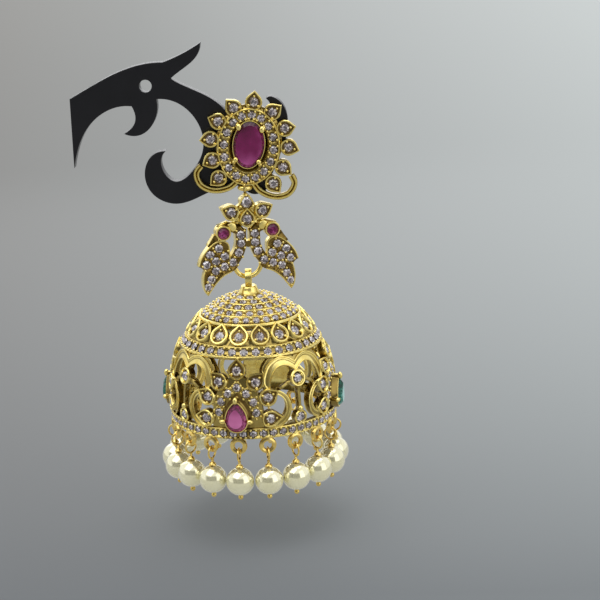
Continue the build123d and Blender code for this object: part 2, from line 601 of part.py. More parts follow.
with BuildPart() as dome_quarter:
    with BuildSketch(dome_plane(FLOWER_TURN, 0, 9.0)):
        with BuildLine():
            Polyline(*FLOWER_WEB, *[(-x, y) for x, y in reversed(FLOWER_WEB)], close=True)
        make_face()
    extrude(amount=5)
    for side in (1, -1):
        with BuildSketch(wall_plane(FLOWER_TURN + side * CRESCENT_ANGLE, CRESCENT_Z, -2.5)):
            outer = [(side * x, y) for x, y in CRESCENT_OUTER]
            inner = [(side * x, y) for x, y in CRESCENT_INNER]
            with BuildLine():
                ThreePointArc(*outer)
                ThreePointArc(*inner)
                Line(outer[0], inner[0])
                Line(outer[2], inner[2])
            make_face()
        extrude(amount=4)
    with BuildSketch(wall_plane(FLOWER_TURN + 45, HEART_Z, -2.8)):
        for side in (1, -1):
            with BuildLine():
                Spline(*[(side * x, y) for x, y in HEART_OUTER])
                Spline(*[(side * x, y) for x, y in HEART_INNER])
                Line((0, HEART_INNER[-1][1]), (0, HEART_OUTER[0][1]))
            make_face()
            with BuildLine(mode=Mode.PRIVATE) as twig:
                Line((side * 0.8, -1.6), (side * 3.1, -2.6))
            trace(twig.line, line_width=STEM_WIDTH)
    extrude(amount=4.5)
    with BuildSketch(dome_plane(FLOWER_TURN + 45, 5.2, 9.5)):
        Rectangle(STEM_WIDTH, 4.4)
    extrude(amount=4)
    add(wall_shell.part, mode=Mode.INTERSECT)
    tray(flower_planes(0), FLOWER_WIDTH, FLOWER_TIP, 0.7, 0.45)
    bosses(halo_wall_planes(0), 0.82, 0.7, 0.15)
    bosses(heart_planes(0)[:1], BEZEL_R, 0.8, 0.3)
    bosses(heart_planes(0)[1:], VALLEY_R, 0.8, 0.15)
    with Locations(wall_plane(FLOWER_TURN + 45, 3.75).location):
        Sphere(0.42)
    pear_plane = dome_plane(FLOWER_TURN, PEAR_Z, PEAR_SEAT_R)
    with BuildSketch(pear_plane.offset(-1.75)):
        drop(PEAR_WIDTH + 0.4, PEAR_TIP + 0.35)
    extrude(amount=1.9)
    for angle, z in CLAW_SPOTS:
        with BuildSketch(dome_plane(FLOWER_TURN + angle, z, PEAR_SEAT_R - 1.65)):
            Circle(0.28)
        extrude(amount=1.95)
        with Locations(dome_plane(FLOWER_TURN + angle, z, PEAR_SEAT_R + 0.3).location):
            Sphere(0.32)
    with BuildSketch(pear_plane.offset(-0.25)):
        drop(PEAR_WIDTH + 2 * SEAT_GAP, PEAR_TIP + 1.5 * SEAT_GAP)
    extrude(amount=1.2, mode=Mode.SUBTRACT)
    with BuildSketch(pear_plane.offset(-0.95)):
        drop(PEAR_WIDTH - 0.25, PEAR_TIP - 0.3)
    extrude(amount=1, mode=Mode.SUBTRACT)
    tray_recess(flower_planes(0), FLOWER_WIDTH, FLOWER_TIP, 0.45, 0.24, RECESS)
    stone_pockets(flower_planes(0), STONE_D, 0.45, 0.85)
    stone_pockets(halo_wall_planes(0), HALO_STONE_D, 0.15, 0.6)
    stone_pockets(heart_planes(0)[:1], HEART_STONE_D, 0.3, 0.85)
    stone_pockets(heart_planes(0)[1:], HEART_STONE_D, 0.15, 0.75)

with BuildPart() as dome_crown:
    with BuildSketch(dome_section):
        with BuildLine():
            Line((BAND_R, BAND_Z), (CAP_R, CAP_Z))
            Spline(*CAP_OUTER)
            Line(CAP_OUTER[-1], CAP_INNER[0])
            Spline(*CAP_INNER)
            Line(CAP_INNER[-1], (BAND_R - SHELL * cos(SLOPE), BAND_Z - SHELL * sin(SLOPE)))
            Line((BAND_R - SHELL * cos(SLOPE), BAND_Z - SHELL * sin(SLOPE)), (BAND_R, BAND_Z))
        make_face()
    revolve(axis=dome_axis)
    window_planes = [crown_plane(FLOWER_TURN + 20 * k + 10, CROWN_TRAY_Z, -1.2)
                     for k in range(CROWN_TRAYS)]
    with BuildSketch(*window_planes) as windows:
        Polygon(*CROWN_WINDOW, align=None)
    extrude(windows.sketch, amount=2, mode=Mode.SUBTRACT)
    for z, minor in ((BAND_Z, 0.26), (13.3, 0.2), (CAP_Z, 0.32)):
        with Locations(Location((CHAIN_X, CHAIN_Y, RIM_Z + z))):
            Torus(crown_radius(z), minor)
    tray(crown_planes, CROWN_WIDTH, CROWN_TIP, 0.6, 0.35)
    tray_recess(crown_planes, CROWN_WIDTH, CROWN_TIP, 0.35, 0.24, RECESS)
    stone_pockets(crown_planes, STONE_D, 0.35, 0.85)

with BuildPart() as dome_rim:
    with BuildSketch(dome_section):
        with Locations((RIM_R, 0)):
            Rectangle(SHELL, RIM_HEIGHT, align=(Align.MAX, Align.MIN))
    revolve(axis=dome_axis)
    for z in (0.03, 1.42):
        with Locations(Location((CHAIN_X, CHAIN_Y, RIM_Z + z))):
            Torus(RIM_R, 0.14)
    for k in range(PEARLS):
        with Locations(dome_plane(FLOWER_TURN + 20 * k, RING_Z, PEARL_RING_R).location):
            Torus(RING_MAJOR, RING_MINOR)
    stone_pockets(rim_planes, RIM_STONE_D, 0.2, 0.8)

bail_plane = Plane(origin=(CHAIN_X, CHAIN_Y, LOWER_HINGE_Z - 0.25), z_dir=(1, 0, 0))
with BuildPart() as dome_frame:
    add(dome_crown.part)
    add(dome_rim.part)
    for turn in TURNS:
        add(dome_quarter.part.rotate(dome_axis, turn))
    with BuildSketch(dome_section):
        with BuildLine():
            Polyline((0, 19.3), (2.1, 19.1), (1.5, 19.75), (1.15, 20.6), (0, 20.6), close=True)
        make_face()
    revolve(axis=dome_axis)
    with BuildSketch(bail_plane):
        Circle(1.5)
        Circle(0.8, mode=Mode.SUBTRACT)
    extrude(amount=0.5, both=True)
dome_frame.part.label = "dome_frame"

# Dome stones --------------------------------------------------------------------------------
pear_stone = cut_stone(drop_points(PEAR_WIDTH, PEAR_TIP), 0.5, 0.85, 0.75, table=0.6)
pear_stones = [set_stones(pear_stone, [dome_plane(FLOWER_TURN + turn, PEAR_Z, PEAR_SEAT_R)])
               for turn in TURNS]
dome_ruby_front, dome_emerald_right, dome_ruby_back, dome_emerald_left = pear_stones
flower_petal_stones = set_stones(
    petal_stone, [p.offset(0.45 - RECESS - 0.05) for turn in TURNS for p in flower_planes(turn)])
flower_halo_stones = set_stones(
    halo_stone, [p.offset(0.05) for turn in TURNS for p in halo_wall_planes(turn)])
crown_band_stones = set_stones(petal_stone, [p.offset(0.35 - RECESS - 0.05)
                                             for p in crown_planes])
heart_stones = set_stones(melee(HEART_STONE_D), [
    p.offset(out) for turn in TURNS for p, out in zip(heart_planes(turn), (0.15, 0.05))])
rim_stones = set_stones(melee(RIM_STONE_D), [p.offset(-0.1) for p in rim_planes])

# Pearls and their pins ----------------------------------------------------------------------
EYE_MAJOR, PIN_WIRE, EYE_Z = 0.95, 0.15, -2.57
PIN_SHAFT_R, PEARL_HOLE_R = 0.2, 0.28
PEARL_TOP, PEARL_FOOT = PEARL_Z + PEARL_R, PEARL_Z - PEARL_R
PIN_CAP_R, PIN_BALL_R = 0.6, 0.4


def pearl_places():
    """Angle of every pearl from the viewer's direction, starting at the front."""
    return [FLOWER_TURN + 20 * k for k in range(PEARLS)]


def pearl(angle):
    """Pearl drilled from top to bottom."""
    centre = dome_plane(angle, PEARL_Z, PEARL_RING_R).origin
    with BuildPart() as bead:
        with Locations(Location(centre)):
            Sphere(PEARL_R)
            Cylinder(PEARL_HOLE_R, 3 * PEARL_R, mode=Mode.SUBTRACT)
    return bead.part


def pearl_pin(angle):
    """Wire eye through the dome's ring, a cap, a shaft through the pearl and a ball below."""
    face = dome_plane(angle, EYE_Z, PEARL_RING_R)
    foot = dome_plane(angle, 0, PEARL_RING_R)
    with BuildPart() as pin:
        with Locations(Plane(origin=face.origin, z_dir=face.x_dir).location):
            Torus(EYE_MAJOR, PIN_WIRE)
        profile = Plane(origin=foot.origin, x_dir=foot.x_dir, z_dir=foot.z_dir)
        low, high = PEARL_FOOT - 0.2, EYE_Z - EYE_MAJOR - 0.1
        with BuildSketch(profile):
            Polygon((0, low), (PIN_SHAFT_R, low), (PIN_SHAFT_R, PEARL_TOP + 0.02),
                    (PIN_CAP_R, PEARL_TOP + 0.12), (0.45, PEARL_TOP + 0.42),
                    (PIN_SHAFT_R, PEARL_TOP + 0.6), (PIN_SHAFT_R, high + 0.05),
                    (0, high + 0.05), align=None)
        revolve(axis=Axis(foot.origin, (0, 0, 1)))
        with Locations(Location((foot.origin.X, foot.origin.Y,
                                 RIM_Z + PEARL_FOOT - PIN_BALL_R + 0.02))):
            Sphere(PIN_BALL_R)
    return pin.part


# Files --------------------------------------------------------------------------------------
pieces = {
    "display_hook": display_hook.part,
    "stud_frame": stud_frame.part,
    "post_clutch": post_clutch.part,
    "centre_ruby": centre_ruby.part,
    "stud_halo_stones": stud_halo_stones,
    "stud_petal_stones": stud_petal_stones,
    "motif_frame": motif_frame.part,
    "motif_ruby_left": motif_ruby_left,
    "motif_ruby_right": motif_ruby_right,
    "motif_petal_stones": motif_petal_stones,
    "motif_pave_stones": motif_pave_stones,
    "dome_frame": dome_frame.part,
    "dome_ruby_front": dome_ruby_front,
    "dome_ruby_back": dome_ruby_back,
    "dome_emerald_left": dome_emerald_left,
    "dome_emerald_right": dome_emerald_right,
    "crown_band_stones": crown_band_stones,
    "flower_petal_stones": flower_petal_stones,
    "flower_halo_stones": flower_halo_stones,
    "heart_stones": heart_stones,
    "rim_stones": rim_stones,
}
for number, angle in enumerate(pearl_places(), start=1):
    pieces[f"pearl_{number:02d}"] = pearl(angle)
    pieces[f"pearl_pin_{number:02d}"] = pearl_pin(angle)
for name, piece in pieces.items():
    piece.label = name
    export_step(piece, f"parts/{name}.step")
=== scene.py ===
import random
from math import asin, atan2, cos, degrees, pi, radians, sin, sqrt

import bmesh
import bpy
from mathutils import Matrix, Vector


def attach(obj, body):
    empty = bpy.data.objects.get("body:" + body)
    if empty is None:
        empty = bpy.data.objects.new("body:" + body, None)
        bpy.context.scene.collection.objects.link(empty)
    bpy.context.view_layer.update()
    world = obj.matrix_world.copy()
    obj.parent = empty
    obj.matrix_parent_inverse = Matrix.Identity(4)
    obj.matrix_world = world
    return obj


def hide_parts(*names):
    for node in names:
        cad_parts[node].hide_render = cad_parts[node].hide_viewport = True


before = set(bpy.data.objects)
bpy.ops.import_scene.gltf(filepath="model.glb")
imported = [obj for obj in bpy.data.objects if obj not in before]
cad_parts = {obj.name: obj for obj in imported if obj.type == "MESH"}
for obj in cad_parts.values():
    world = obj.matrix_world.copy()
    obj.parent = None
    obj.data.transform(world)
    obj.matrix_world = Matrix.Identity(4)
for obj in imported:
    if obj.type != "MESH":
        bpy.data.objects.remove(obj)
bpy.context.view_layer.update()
scene = bpy.context.scene


# Sizes in millimetres, the same as in the part's source ---------------------------------------

CHAIN_X, CHAIN_Y = 26.0, -3.3
UPPER_HINGE_Z, BAIL_FOOT_Z = -8.9, -23.9
STUD_X, STUD_Z, STUD_TILT, STUD_BACK_Y = 26.87, -2.26, 7.8, -1.3
MOTIF_TURN = 15.0
FLOWER_TURN = -9.6
BULGE_R, BULGE_Z, WALL_ARC = 12.6, 3.5, 21.5
RIM_COUNT = 52
RIM_STEP = 360 / RIM_COUNT
BAND_Z, BAND_R, CAP_Z, CAP_R = 12.0, 10.85, 16.1, 7.7
RIM_R, RIM_Z = 12.75, -44.6
PEARL_R, PEARL_RING_R, PEARL_Z = 2.15, 12.65, -6.85
PEAR_WIDTH, PEAR_TIP, PEAR_R, PEAR_Z = 3.2, 2.9, 13.5, 2.95
COLLET_R, CAP_TOP_Z = 12.9, 19.4
SLOPE = atan2(BAND_R - CAP_R, CAP_Z - BAND_Z)
# Degrees of the four flowers, and of the eighteen pearls, rings and crown trays.
TURNS = [0, 90, 180, 270]
EIGHTEEN = [20 * k for k in range(18)]


# Places ---------------------------------------------------------------------------------------

def place(origin, across, out):
    """Matrix that puts local z along out and local x along across."""
    across, out = Vector(across).normalized(), Vector(out).normalized()
    m = Matrix((across, out.cross(across), out)).transposed().to_4x4()
    m.translation = Vector(origin)
    return m


def moved(m, x=0.0, y=0.0, z=0.0, turn=0.0):
    """The place shifted in its own directions, then turned about its own z."""
    return m @ Matrix.Translation((x, y, z)) @ Matrix.Rotation(radians(turn), 4, "Z")


stud_place = place((STUD_X, STUD_BACK_Y, STUD_Z),
                   (cos(radians(STUD_TILT)), 0, -sin(radians(STUD_TILT))), (0, -1, 0))
motif_place = place((CHAIN_X, CHAIN_Y, UPPER_HINGE_Z),
                    (cos(radians(MOTIF_TURN)), sin(radians(MOTIF_TURN)), 0),
                    (sin(radians(MOTIF_TURN)), -cos(radians(MOTIF_TURN)), 0))


def dome_place(angle, z, radius, lean=0.0, turn=0.0):
    """Place round the dome's axis at a height above the rim, facing outwards."""
    a, b = radians(angle), radians(lean)
    m = place((CHAIN_X + radius * sin(a), CHAIN_Y - radius * cos(a), RIM_Z + z),
              (cos(a), sin(a), 0), (sin(a) * cos(b), -cos(a) * cos(b), sin(b)))
    return moved(m, turn=turn)


def wall_radius(z):
    """Radius of the pierced wall at a height above the rim."""
    return BULGE_R - WALL_ARC + sqrt(WALL_ARC ** 2 - (z - BULGE_Z) ** 2)


def wall_place(angle, z, out=0.0, turn=0.0):
    """Place on the pierced wall, leaning with it."""
    lean = asin((z - BULGE_Z) / WALL_ARC)
    return dome_place(angle, z, wall_radius(z) + out * cos(lean), degrees(lean), turn)


def crown_radius(z):
    """Radius of the sloping crown at a height above the rim."""
    return BAND_R + (CAP_R - BAND_R) * (z - BAND_Z) / (CAP_Z - BAND_Z)


def crown_place(angle, z, out=0.0):
    """Place on the crown, leaning with it."""
    return dome_place(angle, z + out * sin(SLOPE), crown_radius(z) + out * cos(SLOPE),
                      degrees(SLOPE))


def on_wall(m, x, y, out):
    """Point of the pierced wall's surface straight in front of the place's point (x, y)."""
    t = 0.0
    for _ in range(6):
        p = m @ Vector((x, y, t))
        r = sqrt((p.x - CHAIN_X) ** 2 + (p.y - CHAIN_Y) ** 2)
        t += wall_radius(p.z - RIM_Z) + out - r
    return m @ Vector((x, y, t))


# Outlines -------------------------------------------------------------------------------------

def smooth_line(points, steps=6):
    """Points of a soft curve through the given ones."""
    pts = [Vector(p) for p in points]
    pts = [pts[0] * 2 - pts[1]] + pts + [pts[-1] * 2 - pts[-2]]
    found = []
    for a, b, c, d in zip(pts, pts[1:], pts[2:], pts[3:]):
        for k in range(steps):
            t = k / steps
            found.append(0.5 * (2 * b + (c - a) * t + (2 * a - 5 * b + 4 * c - d) * t * t
                                + (3 * b - a - 3 * c + d) * t ** 3))
    return found + [pts[-2]]


def arc_line(first, middle, last, count=14):
    """Points of the arc through three points of a plane."""
    (ax, ay), (bx, by), (cx, cy) = first, middle, last
    d = 2 * (ax * (by - cy) + bx * (cy - ay) + cx * (ay - by))
    a2, b2, c2 = ax * ax + ay * ay, bx * bx + by * by, cx * cx + cy * cy
    ux = (a2 * (by - cy) + b2 * (cy - ay) + c2 * (ay - by)) / d
    uy = (a2 * (cx - bx) + b2 * (ax - cx) + c2 * (bx - ax)) / d
    r = sqrt((ax - ux) ** 2 + (ay - uy) ** 2)
    start, halfway, end = (atan2(y - uy, x - ux) for x, y in (first, middle, last))
    turn = (end - start) % (2 * pi)
    if (halfway - start) % (2 * pi) > turn:
        turn -= 2 * pi
    return [(ux + r * cos(start + turn * k / count), uy + r * sin(start + turn * k / count))
            for k in range(count + 1)]


def drop_line(width, tip, below, beside):
    """Outline of a drop with its round end about the origin and its tip at (0, tip).

    Its round end has as many points as below says, and each of its sides as beside says.
    """
    side = (tip ** 2 - width ** 2 / 4) / width
    reach, top = side + width / 2, atan2(tip, side)
    right = [(reach * cos(top * k / beside) - side, reach * sin(top * k / beside))
             for k in range(beside)]
    left = [(-x, y) for x, y in reversed(right[1:])]
    low = [(width / 2 * cos(pi + pi * k / below), width / 2 * sin(pi + pi * k / below))
           for k in range(below)]
    return right + [(0, tip)] + left + low


def petal_line(width, tip, count=14):
    """Outline of a petal: a circle about the origin and two straight sides meeting at (0, tip)."""
    r = width / 2
    first = asin(r / tip)
    turn = (pi + 2 * first) / count
    return [(0, tip)] + [(r * cos(first - turn * k), r * sin(first - turn * k))
                         for k in range(count + 1)]


def round_line(rx, ry=None, count=24, start=0.0):
    """Outline of a circle, or of an oval when its second half-width is given."""
    ry = rx if ry is None else ry
    return [(rx * cos(start + 2 * pi * k / count), ry * sin(start + 2 * pi * k / count))
            for k in range(count)]


# Piece building -------------------------------------------------------------------------------

class Piece:
    """One piece of the object, built in millimetres and finished as an object at the origin."""

    def __init__(self, name, body, finish, replaces=(), slot=None, smooth=40):
        self.name, self.body, self.finish = name, body, finish
        self.replaced, self.slot, self.smooth = replaces, slot, smooth
        self.bm = bmesh.new()
        self.spark = self.bm.faces.layers.float.new("spark")
        self.height = self.bm.verts.layers.float.new("height")

    def set(self, shape, places, sparks=None):
        """Copies of a small shape, one at each place."""
        for m in places:
            first_v, first_f = len(self.bm.verts), len(self.bm.faces)
            self.bm.from_mesh(shape)
            self.bm.verts.ensure_lookup_table()
            self.bm.faces.ensure_lookup_table()
            bmesh.ops.transform(self.bm, matrix=m, verts=self.bm.verts[first_v:])
            if sparks:
                sparks(self, self.bm.faces[first_f:])

    def done(self):
        """The piece put into the scene, in metres, on its body."""
        bmesh.ops.scale(self.bm, vec=(0.001, 0.001, 0.001), verts=self.bm.verts[:])
        mesh = bpy.data.meshes.new(self.name)
        self.bm.to_mesh(mesh)
        self.bm.free()
        obj = bpy.data.objects.new(self.name, mesh)
        scene.collection.objects.link(obj)
        mesh.materials.append(self.finish)
        if self.smooth:
            mesh.shade_smooth()
            if self.smooth < 180:
                mesh.set_sharp_from_angle(angle=radians(self.smooth))
        else:
            mesh.shade_flat()
        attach(obj, self.body)
        if self.replaced:
            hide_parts(*self.replaced)


def shape_of(build):
    """Small mesh made by one function that fills a bmesh."""
    bm = bmesh.new()
    build(bm)
    mesh = bpy.data.meshes.new("shape")
    bm.to_mesh(mesh)
    bm.free()
    return mesh


def wire_shape(lines, radius, closed=True, sides=1):
    """Mesh of round wires along lines of points."""
    data = bpy.data.curves.new("wire", "CURVE")
    data.dimensions = "3D"
    data.bevel_depth = radius
    data.bevel_resolution = sides
    data.use_fill_caps = True
    for line in lines:
        spline = data.splines.new("POLY")
        spline.points.add(len(line) - 1)
        for point, co in zip(spline.points, line):
            x, y, z = (*co, 0.0)[:3]
            point.co = (x, y, z, 1)
        spline.use_cyclic_u = closed
    holder = bpy.data.objects.new("wire", data)
    mesh = bpy.data.meshes.new_from_object(holder)
    bpy.data.objects.remove(holder)
    bpy.data.curves.remove(data)
    return mesh


def bead_shape(radius, across=8, along=6):
    """Small ball about the origin."""
    return shape_of(lambda bm: bmesh.ops.create_uvsphere(bm, u_segments=across, v_segments=along,
                                                         radius=radius))


def face_of(bm, outline, z=0.0):
    """One flat face inside an outline."""
    return bm.faces.new([bm.verts.new((x, y, z)) for x, y in outline])


def lift(bm, face, height, scale=1.0, centre=(0, 0), keep=False):
    """The face extruded, moved up and scaled about a centre; returns the new top face."""
    found = bmesh.ops.extrude_face_region(bm, geom=[face], use_keep_orig=keep)
    top = [g for g in found["geom"] if isinstance(g, bmesh.types.BMFace)][0]
    z = top.verts[0].co.z + height
    space = Matrix.Translation((-centre[0], -centre[1], 0))
    bmesh.ops.scale(bm, vec=(scale, scale, 1), verts=top.verts[:], space=space)
    bmesh.ops.translate(bm, vec=(0, 0, z - top.verts[0].co.z), verts=top.verts[:])
    return top


# A stone's facets are listed by how far they lie this way, so that each run draws their lights
# and darks in the same order.
FACET_ORDER = Vector((1.0, 0.37, 100.0))


def stone_shape(outline, crown, depth, table, centre=(0, 0), rises=(1.0,), star=True):
    """Cut stone: pavilion, girdle, a row of crown facets for each rise, and a table or star."""
    def build(bm):
        face = face_of(bm, outline)
        lift(bm, face, -depth, 0.12, centre, keep=True)
        belt = lift(bm, face, 0.08 * crown, 1.0, centre)
        sides = []
        size = 1.0
        for row, rise in enumerate(rises, 1):
            before = set(bm.faces)
            goal = 1.0 - (1.0 - table) * row / len(rises)
            belt = lift(bm, belt, crown * rise, goal / size, centre)
            size = goal
            sides += [f for f in bm.faces if f not in before and f is not belt]
        bmesh.ops.poke(bm, faces=sides, offset=0.02 * crown)
        if star:
            bmesh.ops.poke(bm, faces=[belt], offset=0.04 * crown)
        bmesh.ops.recalc_face_normals(bm, faces=bm.faces[:])
        bm.faces.sort(key=lambda facet: facet.calc_center_median().dot(FACET_ORDER))
    return shape_of(build)


def plate_shape(outline, low, high, bevel):
    """Flat plate between two heights, its upper edge softened."""
    def build(bm):
        face = face_of(bm, outline, low)
        top = lift(bm, face, high - low, keep=True)
        bmesh.ops.recalc_face_normals(bm, faces=bm.faces[:])
        bmesh.ops.bevel(bm, geom=top.edges[:], offset=bevel, offset_type="OFFSET",
                        segments=3, profile=0.5, affect="EDGES", material=-1)
    return shape_of(build)


def strip(piece, lines, closed=False):
    """Smooth band through rows of points, each row as long as the next."""
    rows = []
    for line in lines:
        verts = [piece.bm.verts.new(p) for p in line]
        ends = verts[1:] + (verts[:1] if closed else [])
        rows.append([piece.bm.edges.new(pair) for pair in zip(verts, ends)])
    for first, second in zip(rows, rows[1:]):
        bmesh.ops.bridge_loops(piece.bm, edges=first + second)


def smooth_copy(name, body, nodes, finish, smooth=32, change=None):
    """One smooth-shaded piece made from CAD nodes, which it replaces."""
    bm = bmesh.new()
    for node in nodes:
        bm.from_mesh(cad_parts[node].data)
    bmesh.ops.remove_doubles(bm, verts=bm.verts[:], dist=2e-7)
    if change:
        change(bm)
    mesh = bpy.data.meshes.new(name)
    bm.to_mesh(mesh)
    bm.free()
    mesh.materials.clear()
    mesh.materials.append(finish)
    mesh.shade_smooth()
    mesh.set_sharp_from_angle(angle=radians(smooth))
    # Faces with many corners are the large flat ones, and they stay flat.
    for face in mesh.polygons:
        face.use_smooth = len(face.vertices) < 9
    obj = bpy.data.objects.new(name, mesh)
    scene.collection.objects.link(obj)
    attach(obj, body)
    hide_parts(*nodes)


# Finishes -------------------------------------------------------------------------------------

class Link:
    """An output socket that takes part in sums."""

    def __init__(self, finish, socket):
        self.finish, self.socket = finish, socket

    def siblings(self):
        """All outputs of the socket's node."""
        return [Link(self.finish, socket) for socket in self.socket.node.outputs]

    def sum(self, operation, *values, clamp=False):
        return self.finish.node("ShaderNodeMath", {"operation": operation, "use_clamp": clamp},
                                dict(enumerate(values)))

    def __add__(self, other):
        return self.sum("ADD", self, other)

    __radd__ = __add__

    def __sub__(self, other):
        return self.sum("SUBTRACT", self, other)

    def __rsub__(self, other):
        return self.sum("SUBTRACT", other, self)

    def __mul__(self, other):
        return self.sum("MULTIPLY", self, other)

    __rmul__ = __mul__

    def __truediv__(self, other):
        return self.sum("DIVIDE", self, other)

    def __rtruediv__(self, other):
        return self.sum("DIVIDE", other, self)

    def root(self):
        return self.sum("SQRT", self)

    def size(self):
        return self.sum("ABSOLUTE", self)

    def between(self, low, high):
        """0 below low, 1 above high."""
        return self.sum("MULTIPLY_ADD", self, 1.0 / (high - low), -low / (high - low), clamp=True)


class Finish:
    """A material, or a world, under construction."""

    def __init__(self, name, shader="Principled BSDF", kind=bpy.data.materials):
        self.material = kind.new(name)
        self.material.use_nodes = True
        self.tree = self.material.node_tree
        self.shader = self.tree.nodes[shader]

    def node(self, kind, settings=None, inputs=None, output=0):
        """A node of one kind, its settings made first; returns one of its outputs."""
        made = self.tree.nodes.new(kind)
        for key, value in (settings or {}).items():
            if key == "stops":
                ramp = made.color_ramp
                while len(ramp.elements) < len(value):
                    ramp.elements.new(0.5)
                for element, (position, colour) in zip(ramp.elements, value):
                    element.position, element.color = position, (*colour, 1)
            else:
                setattr(made, key, value)
        for key, value in (inputs or {}).items():
            self.put(made.inputs[key], value)
        return Link(self, made.outputs[output])

    def put(self, socket, value):
        """A link or a fixed value given to an input."""
        if isinstance(value, Link):
            self.tree.links.new(value.socket, socket)
        elif socket.type == "RGBA" and len(value) == 3:
            socket.default_value = (*value, 1)
        else:
            socket.default_value = value

    def set(self, **values):
        for key, value in values.items():
            self.put(self.shader.inputs[key.replace("_", " ")], value)

    def point(self, space="Object"):
        return self.node("ShaderNodeTexCoord", output=space)

    def axes(self, space="Object"):
        split = self.node("ShaderNodeSeparateXYZ", {}, {0: self.point(space)})
        return split.siblings()

    def noise(self, scale, detail=2.0, roughness=0.5):
        return self.node("ShaderNodeTexNoise", {}, {
            "Vector": self.point(), "Scale": scale, "Detail": detail, "Roughness": roughness})

    def mix(self, factor, first, second):
        return self.node("ShaderNodeMix", {"data_type": "RGBA"}, {0: factor, 6: first, 7: second},
                         output=2)

    def bump(self, height, strength, distance):
        return self.node("ShaderNodeBump", {}, {"Height": height, "Strength": strength,
                                                "Distance": distance})


# Tones of the gold, mixed at random, and the brown of the painted shade in its recesses.
GOLD_LIGHT, GOLD_WARM, GOLD_PAINTED_SHADE = (0.93, 0.78, 0.28), (0.80, 0.62, 0.17), (0.20, 0.13, 0.03)
DROP_LIGHT, DROP_WARM = (0.88, 0.68, 0.22), (0.68, 0.47, 0.12)


def gold(name, depth=None, rough=0.17, grain=1.0, light=GOLD_LIGHT, warm=GOLD_WARM):
    """Polished gold plating, painted browner with shade where it lies deep; depth gives that
    painted shade, 1 in the deepest places.
    """
    f = Finish(name)
    cloud = f.noise(900, 3, 0.6)
    tone = f.mix(cloud.between(0.35, 0.7), light, warm)
    # Painted shade: browner where the depth mask is high.
    if depth:
        tone = f.mix(depth(f), tone, GOLD_PAINTED_SHADE)
    fine = f.noise(5200, 2, 0.6)
    f.set(Base_Color=tone, Metallic=1.0, Roughness=rough + 0.14 * cloud,
          Normal=f.bump(fine, 0.12 * grain, 0.00006))
    return f.material


def stud_painted_shade(f):
    """Painted shade everywhere behind the rims of the stud's plate."""
    y = f.axes()[1]
    return (y * 1000).between(-3.12, -3.0) * 0.75


def motif_painted_shade(f):
    """Painted shade on the motif's front face, between its stones."""
    x, y, _ = f.axes()
    a = radians(MOTIF_TURN)
    out = (x - CHAIN_X / 1000) * (1000 * sin(a)) - (y - CHAIN_Y / 1000) * (1000 * cos(a))
    return out.between(0.6, 0.7) * (1.0 - out.between(0.82, 0.95))


def dome_painted_shade(f):
    """Painted shade in the wall's and the crown's face and round the pear stones, never on the
    bail.
    """
    x, y, z = f.axes()
    u, v = (x - CHAIN_X / 1000) * 1000, (y - CHAIN_Y / 1000) * 1000
    h = z * 1000 - RIM_Z - BULGE_Z
    radius = (u * u + v * v).root()
    wall = (WALL_ARC ** 2 - h * h).root() + (BULGE_R - WALL_ARC)
    low = (1.0 - (radius - wall).between(-0.05, 0.5)) * (radius - wall).between(-0.8, -0.5)
    band_h, cap_h = BAND_Z - BULGE_Z, CAP_TOP_Z - BULGE_Z
    inward = (BAND_R - CAP_R) / (CAP_Z - BAND_Z)
    crown = (h * inward + radius) * cos(SLOPE) - (BAND_R + band_h * inward) * cos(SLOPE)
    high = 1.0 - crown.between(-0.05, 0.4)
    turn = radians(FLOWER_TURN)
    aside = ((u * cos(turn) + v * sin(turn)) * (v * cos(turn) - u * sin(turn))).size() / COLLET_R
    by_pear = (1.0 - aside.between(2.2, 2.5)) * (1.0 - h.between(2.8, 3.2))
    collets = by_pear * (radius - wall).between(0.0, 0.15) * (1.0 - low)
    on_crown = h.between(band_h - 0.4, band_h)
    bail = h.between(cap_h, cap_h + 0.3)
    return (low + collets + on_crown * (high - low)) * (1.0 - bail) * 0.9


gold_stud = gold("gold_stud", stud_painted_shade)
gold_motif = gold("gold_motif", motif_painted_shade)
gold_dome = gold("gold_dome", dome_painted_shade)
gold_wire = gold("gold_wire", rough=0.2, grain=0.4)
gold_satin = gold("gold_satin", rough=0.24, grain=0.7)
gold_drop = gold("gold_drop", rough=0.16, grain=0.4, light=DROP_LIGHT, warm=DROP_WARM)


def dark_gold():
    """Gold dark with painted shade, for the trays' floors."""
    f = Finish("gold_shadow")
    cloud = f.noise(1500, 2, 0.5)
    f.set(Base_Color=f.mix(cloud, (0.08, 0.05, 0.012), (0.30, 0.19, 0.05)), Metallic=0.85,
          Roughness=0.42)
    return f.material


gold_shadow = dark_gold()


def clear_stone(name, stops):
    """Small clear stones: facets painted from dark through lilac grey to white, as painted
    reflections and glints.
    """
    f = Finish(name)
    spark = f.node("ShaderNodeAttribute", {"attribute_name": "spark"}, output=2)
    ramp = f.node("ShaderNodeValToRGB", {"stops": stops}, {0: spark})
    f.set(Base_Color=ramp, Roughness=0.06, IOR=1.9, Coat_Weight=0.6, Coat_Roughness=0.02)
    return f.material


clear_mat = clear_stone("clear_stone", [
    (0.0, (0.030, 0.024, 0.026)), (0.25, (0.11, 0.088, 0.096)), (0.5, (0.31, 0.265, 0.285)),
    (0.75, (0.58, 0.52, 0.54)), (1.0, (0.92, 0.89, 0.89))])


def coloured_stone(name, dark, middle, light):
    """Stone of its own colour, with painted glints and darks on its facets and painted light
    making it lighter towards its lower end.
    """
    f = Finish(name)
    spark, height = (f.node("ShaderNodeAttribute", {"attribute_name": key}, output=2)
                     for key in ("spark", "height"))
    # Painted light: the facets' glints, and lighter towards the lower end.
    shade = spark + 0.6 * (1.0 - height) + 0.35 * f.noise(420, 1).between(0.3, 0.7) - 0.45
    ramp = f.node("ShaderNodeValToRGB", {"stops": [(0.0, dark), (0.5, middle), (1.0, light)]},
                  {0: shade})
    f.set(Base_Color=ramp, Roughness=0.12, IOR=1.38)
    return f.material


